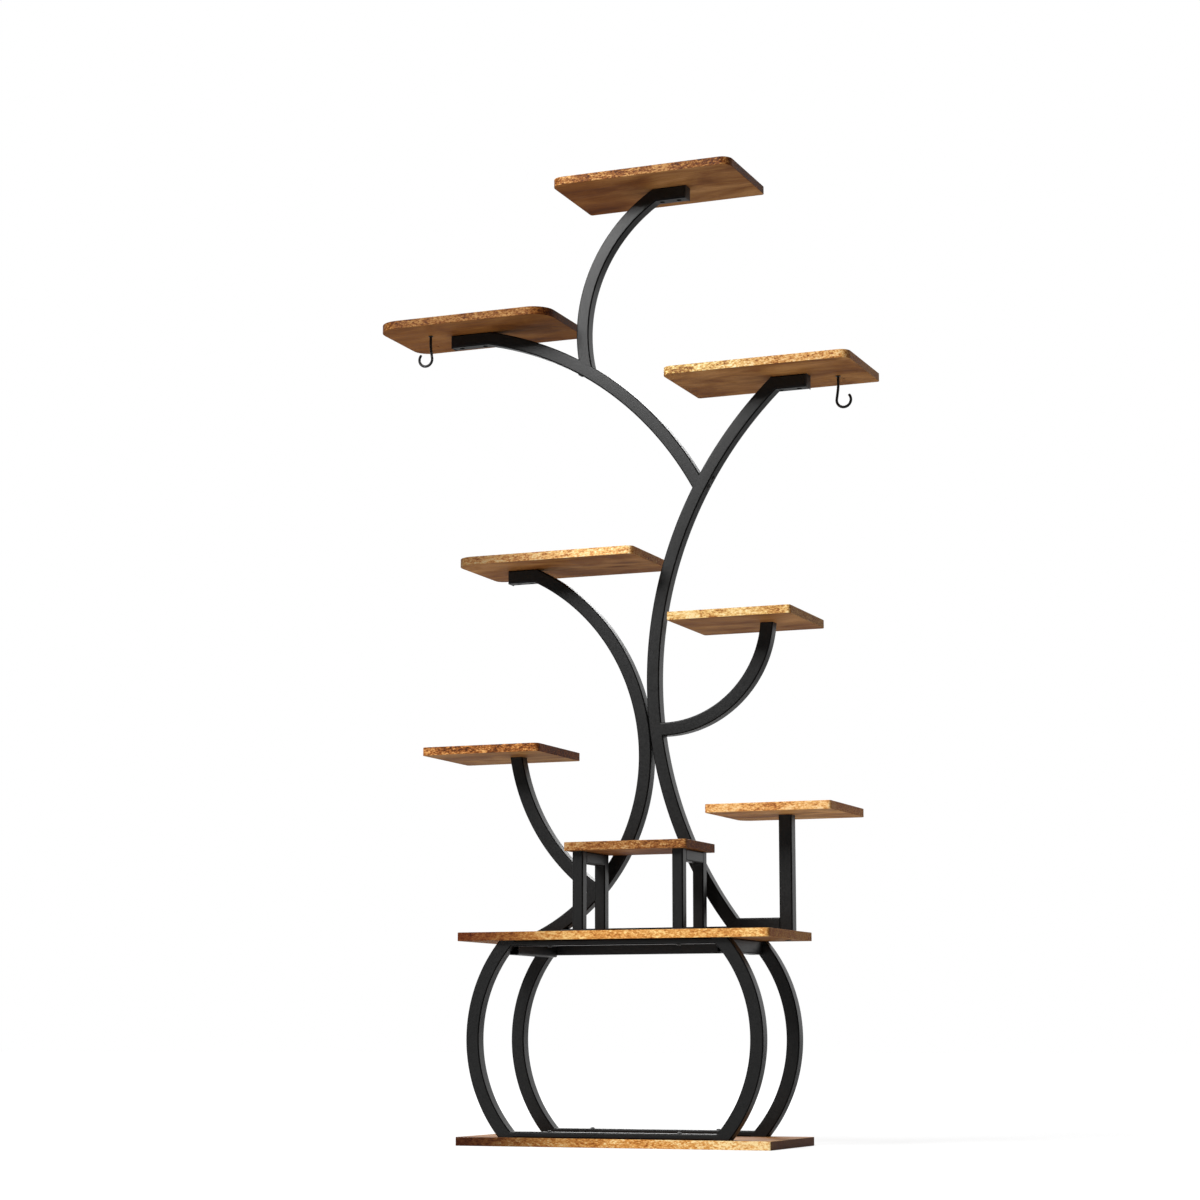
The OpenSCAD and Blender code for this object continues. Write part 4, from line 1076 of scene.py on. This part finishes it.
def studio(name):
    """Even dim light. The camera sees white, and gloss white behind the object and a dim room before it."""
    world = bpy.data.worlds.new(name)
    nt = blank_tree(world)
    out = nt.nodes.new("ShaderNodeOutputWorld")
    rays = add(nt, "LightPath")
    shown = calc(nt, "MAXIMUM", rays.outputs["Is Camera Ray"],
                 calc(nt, "MAXIMUM", rays.outputs["Is Glossy Ray"], rays.outputs["Is Transmission Ray"]))
    behind = part_of(nt, coords(nt, "Generated"), 1)
    room = calc(nt, "MAXIMUM", fit(nt, behind, 0.2, 0.55, 0.04, 1.0), rays.outputs["Is Camera Ray"])
    dim = add(nt, "Background", {"Color": WHITE, "Strength": 0.22})
    bright = add(nt, "Background", {"Color": WHITE, "Strength": room})
    mix = add(nt, "MixShader", {0: shown, 1: dim.outputs[0], 2: bright.outputs[0]})
    nt.links.new(mix.outputs[0], out.inputs[0])
    return world


def softbox(name, at, aim, size, power):
    lamp = bpy.data.lights.new(name, "AREA")
    lamp.size = size
    lamp.energy = power
    o = link(bpy.data.objects.new(name, lamp))
    o.location = at
    o.rotation_euler = (Vector(aim) - Vector(at)).to_track_quat("-Z", "Y").to_euler()


bm = bmesh.new()
bmesh.ops.create_grid(bm, x_segments=1, y_segments=1, size=FLOOR_SIZE)
floor_mesh = bpy.data.meshes.new("floor")
bm.to_mesh(floor_mesh)
bm.free()
floor_mesh.materials.append(white_stage("floor_white"))
floor = link(bpy.data.objects.new("floor", floor_mesh))

bpy.context.scene.world = studio("studio")
softbox("key", (-1.95, -3.65, 4.1), (0, 0, 0.95), 2.3, 320)
softbox("back_fill", (-1.4, 3.5, 3.0), (0, 0, 0.9), 2.5, 110)

camera_data = bpy.data.cameras.new("camera")
camera_data.sensor_width = SENSOR
camera_data.lens = SENSOR * FOCAL_PIXELS / FRAME_PIXELS
camera_data.clip_end = 60
camera = link(bpy.data.objects.new("camera", camera_data))
camera.location = CAMERA_AT
camera.rotation_euler = (math.radians(90 + CAMERA_PITCH), 0, math.radians(CAMERA_TURN))
bpy.context.scene.camera = camera

bpy.context.scene.view_settings.view_transform = "Standard"
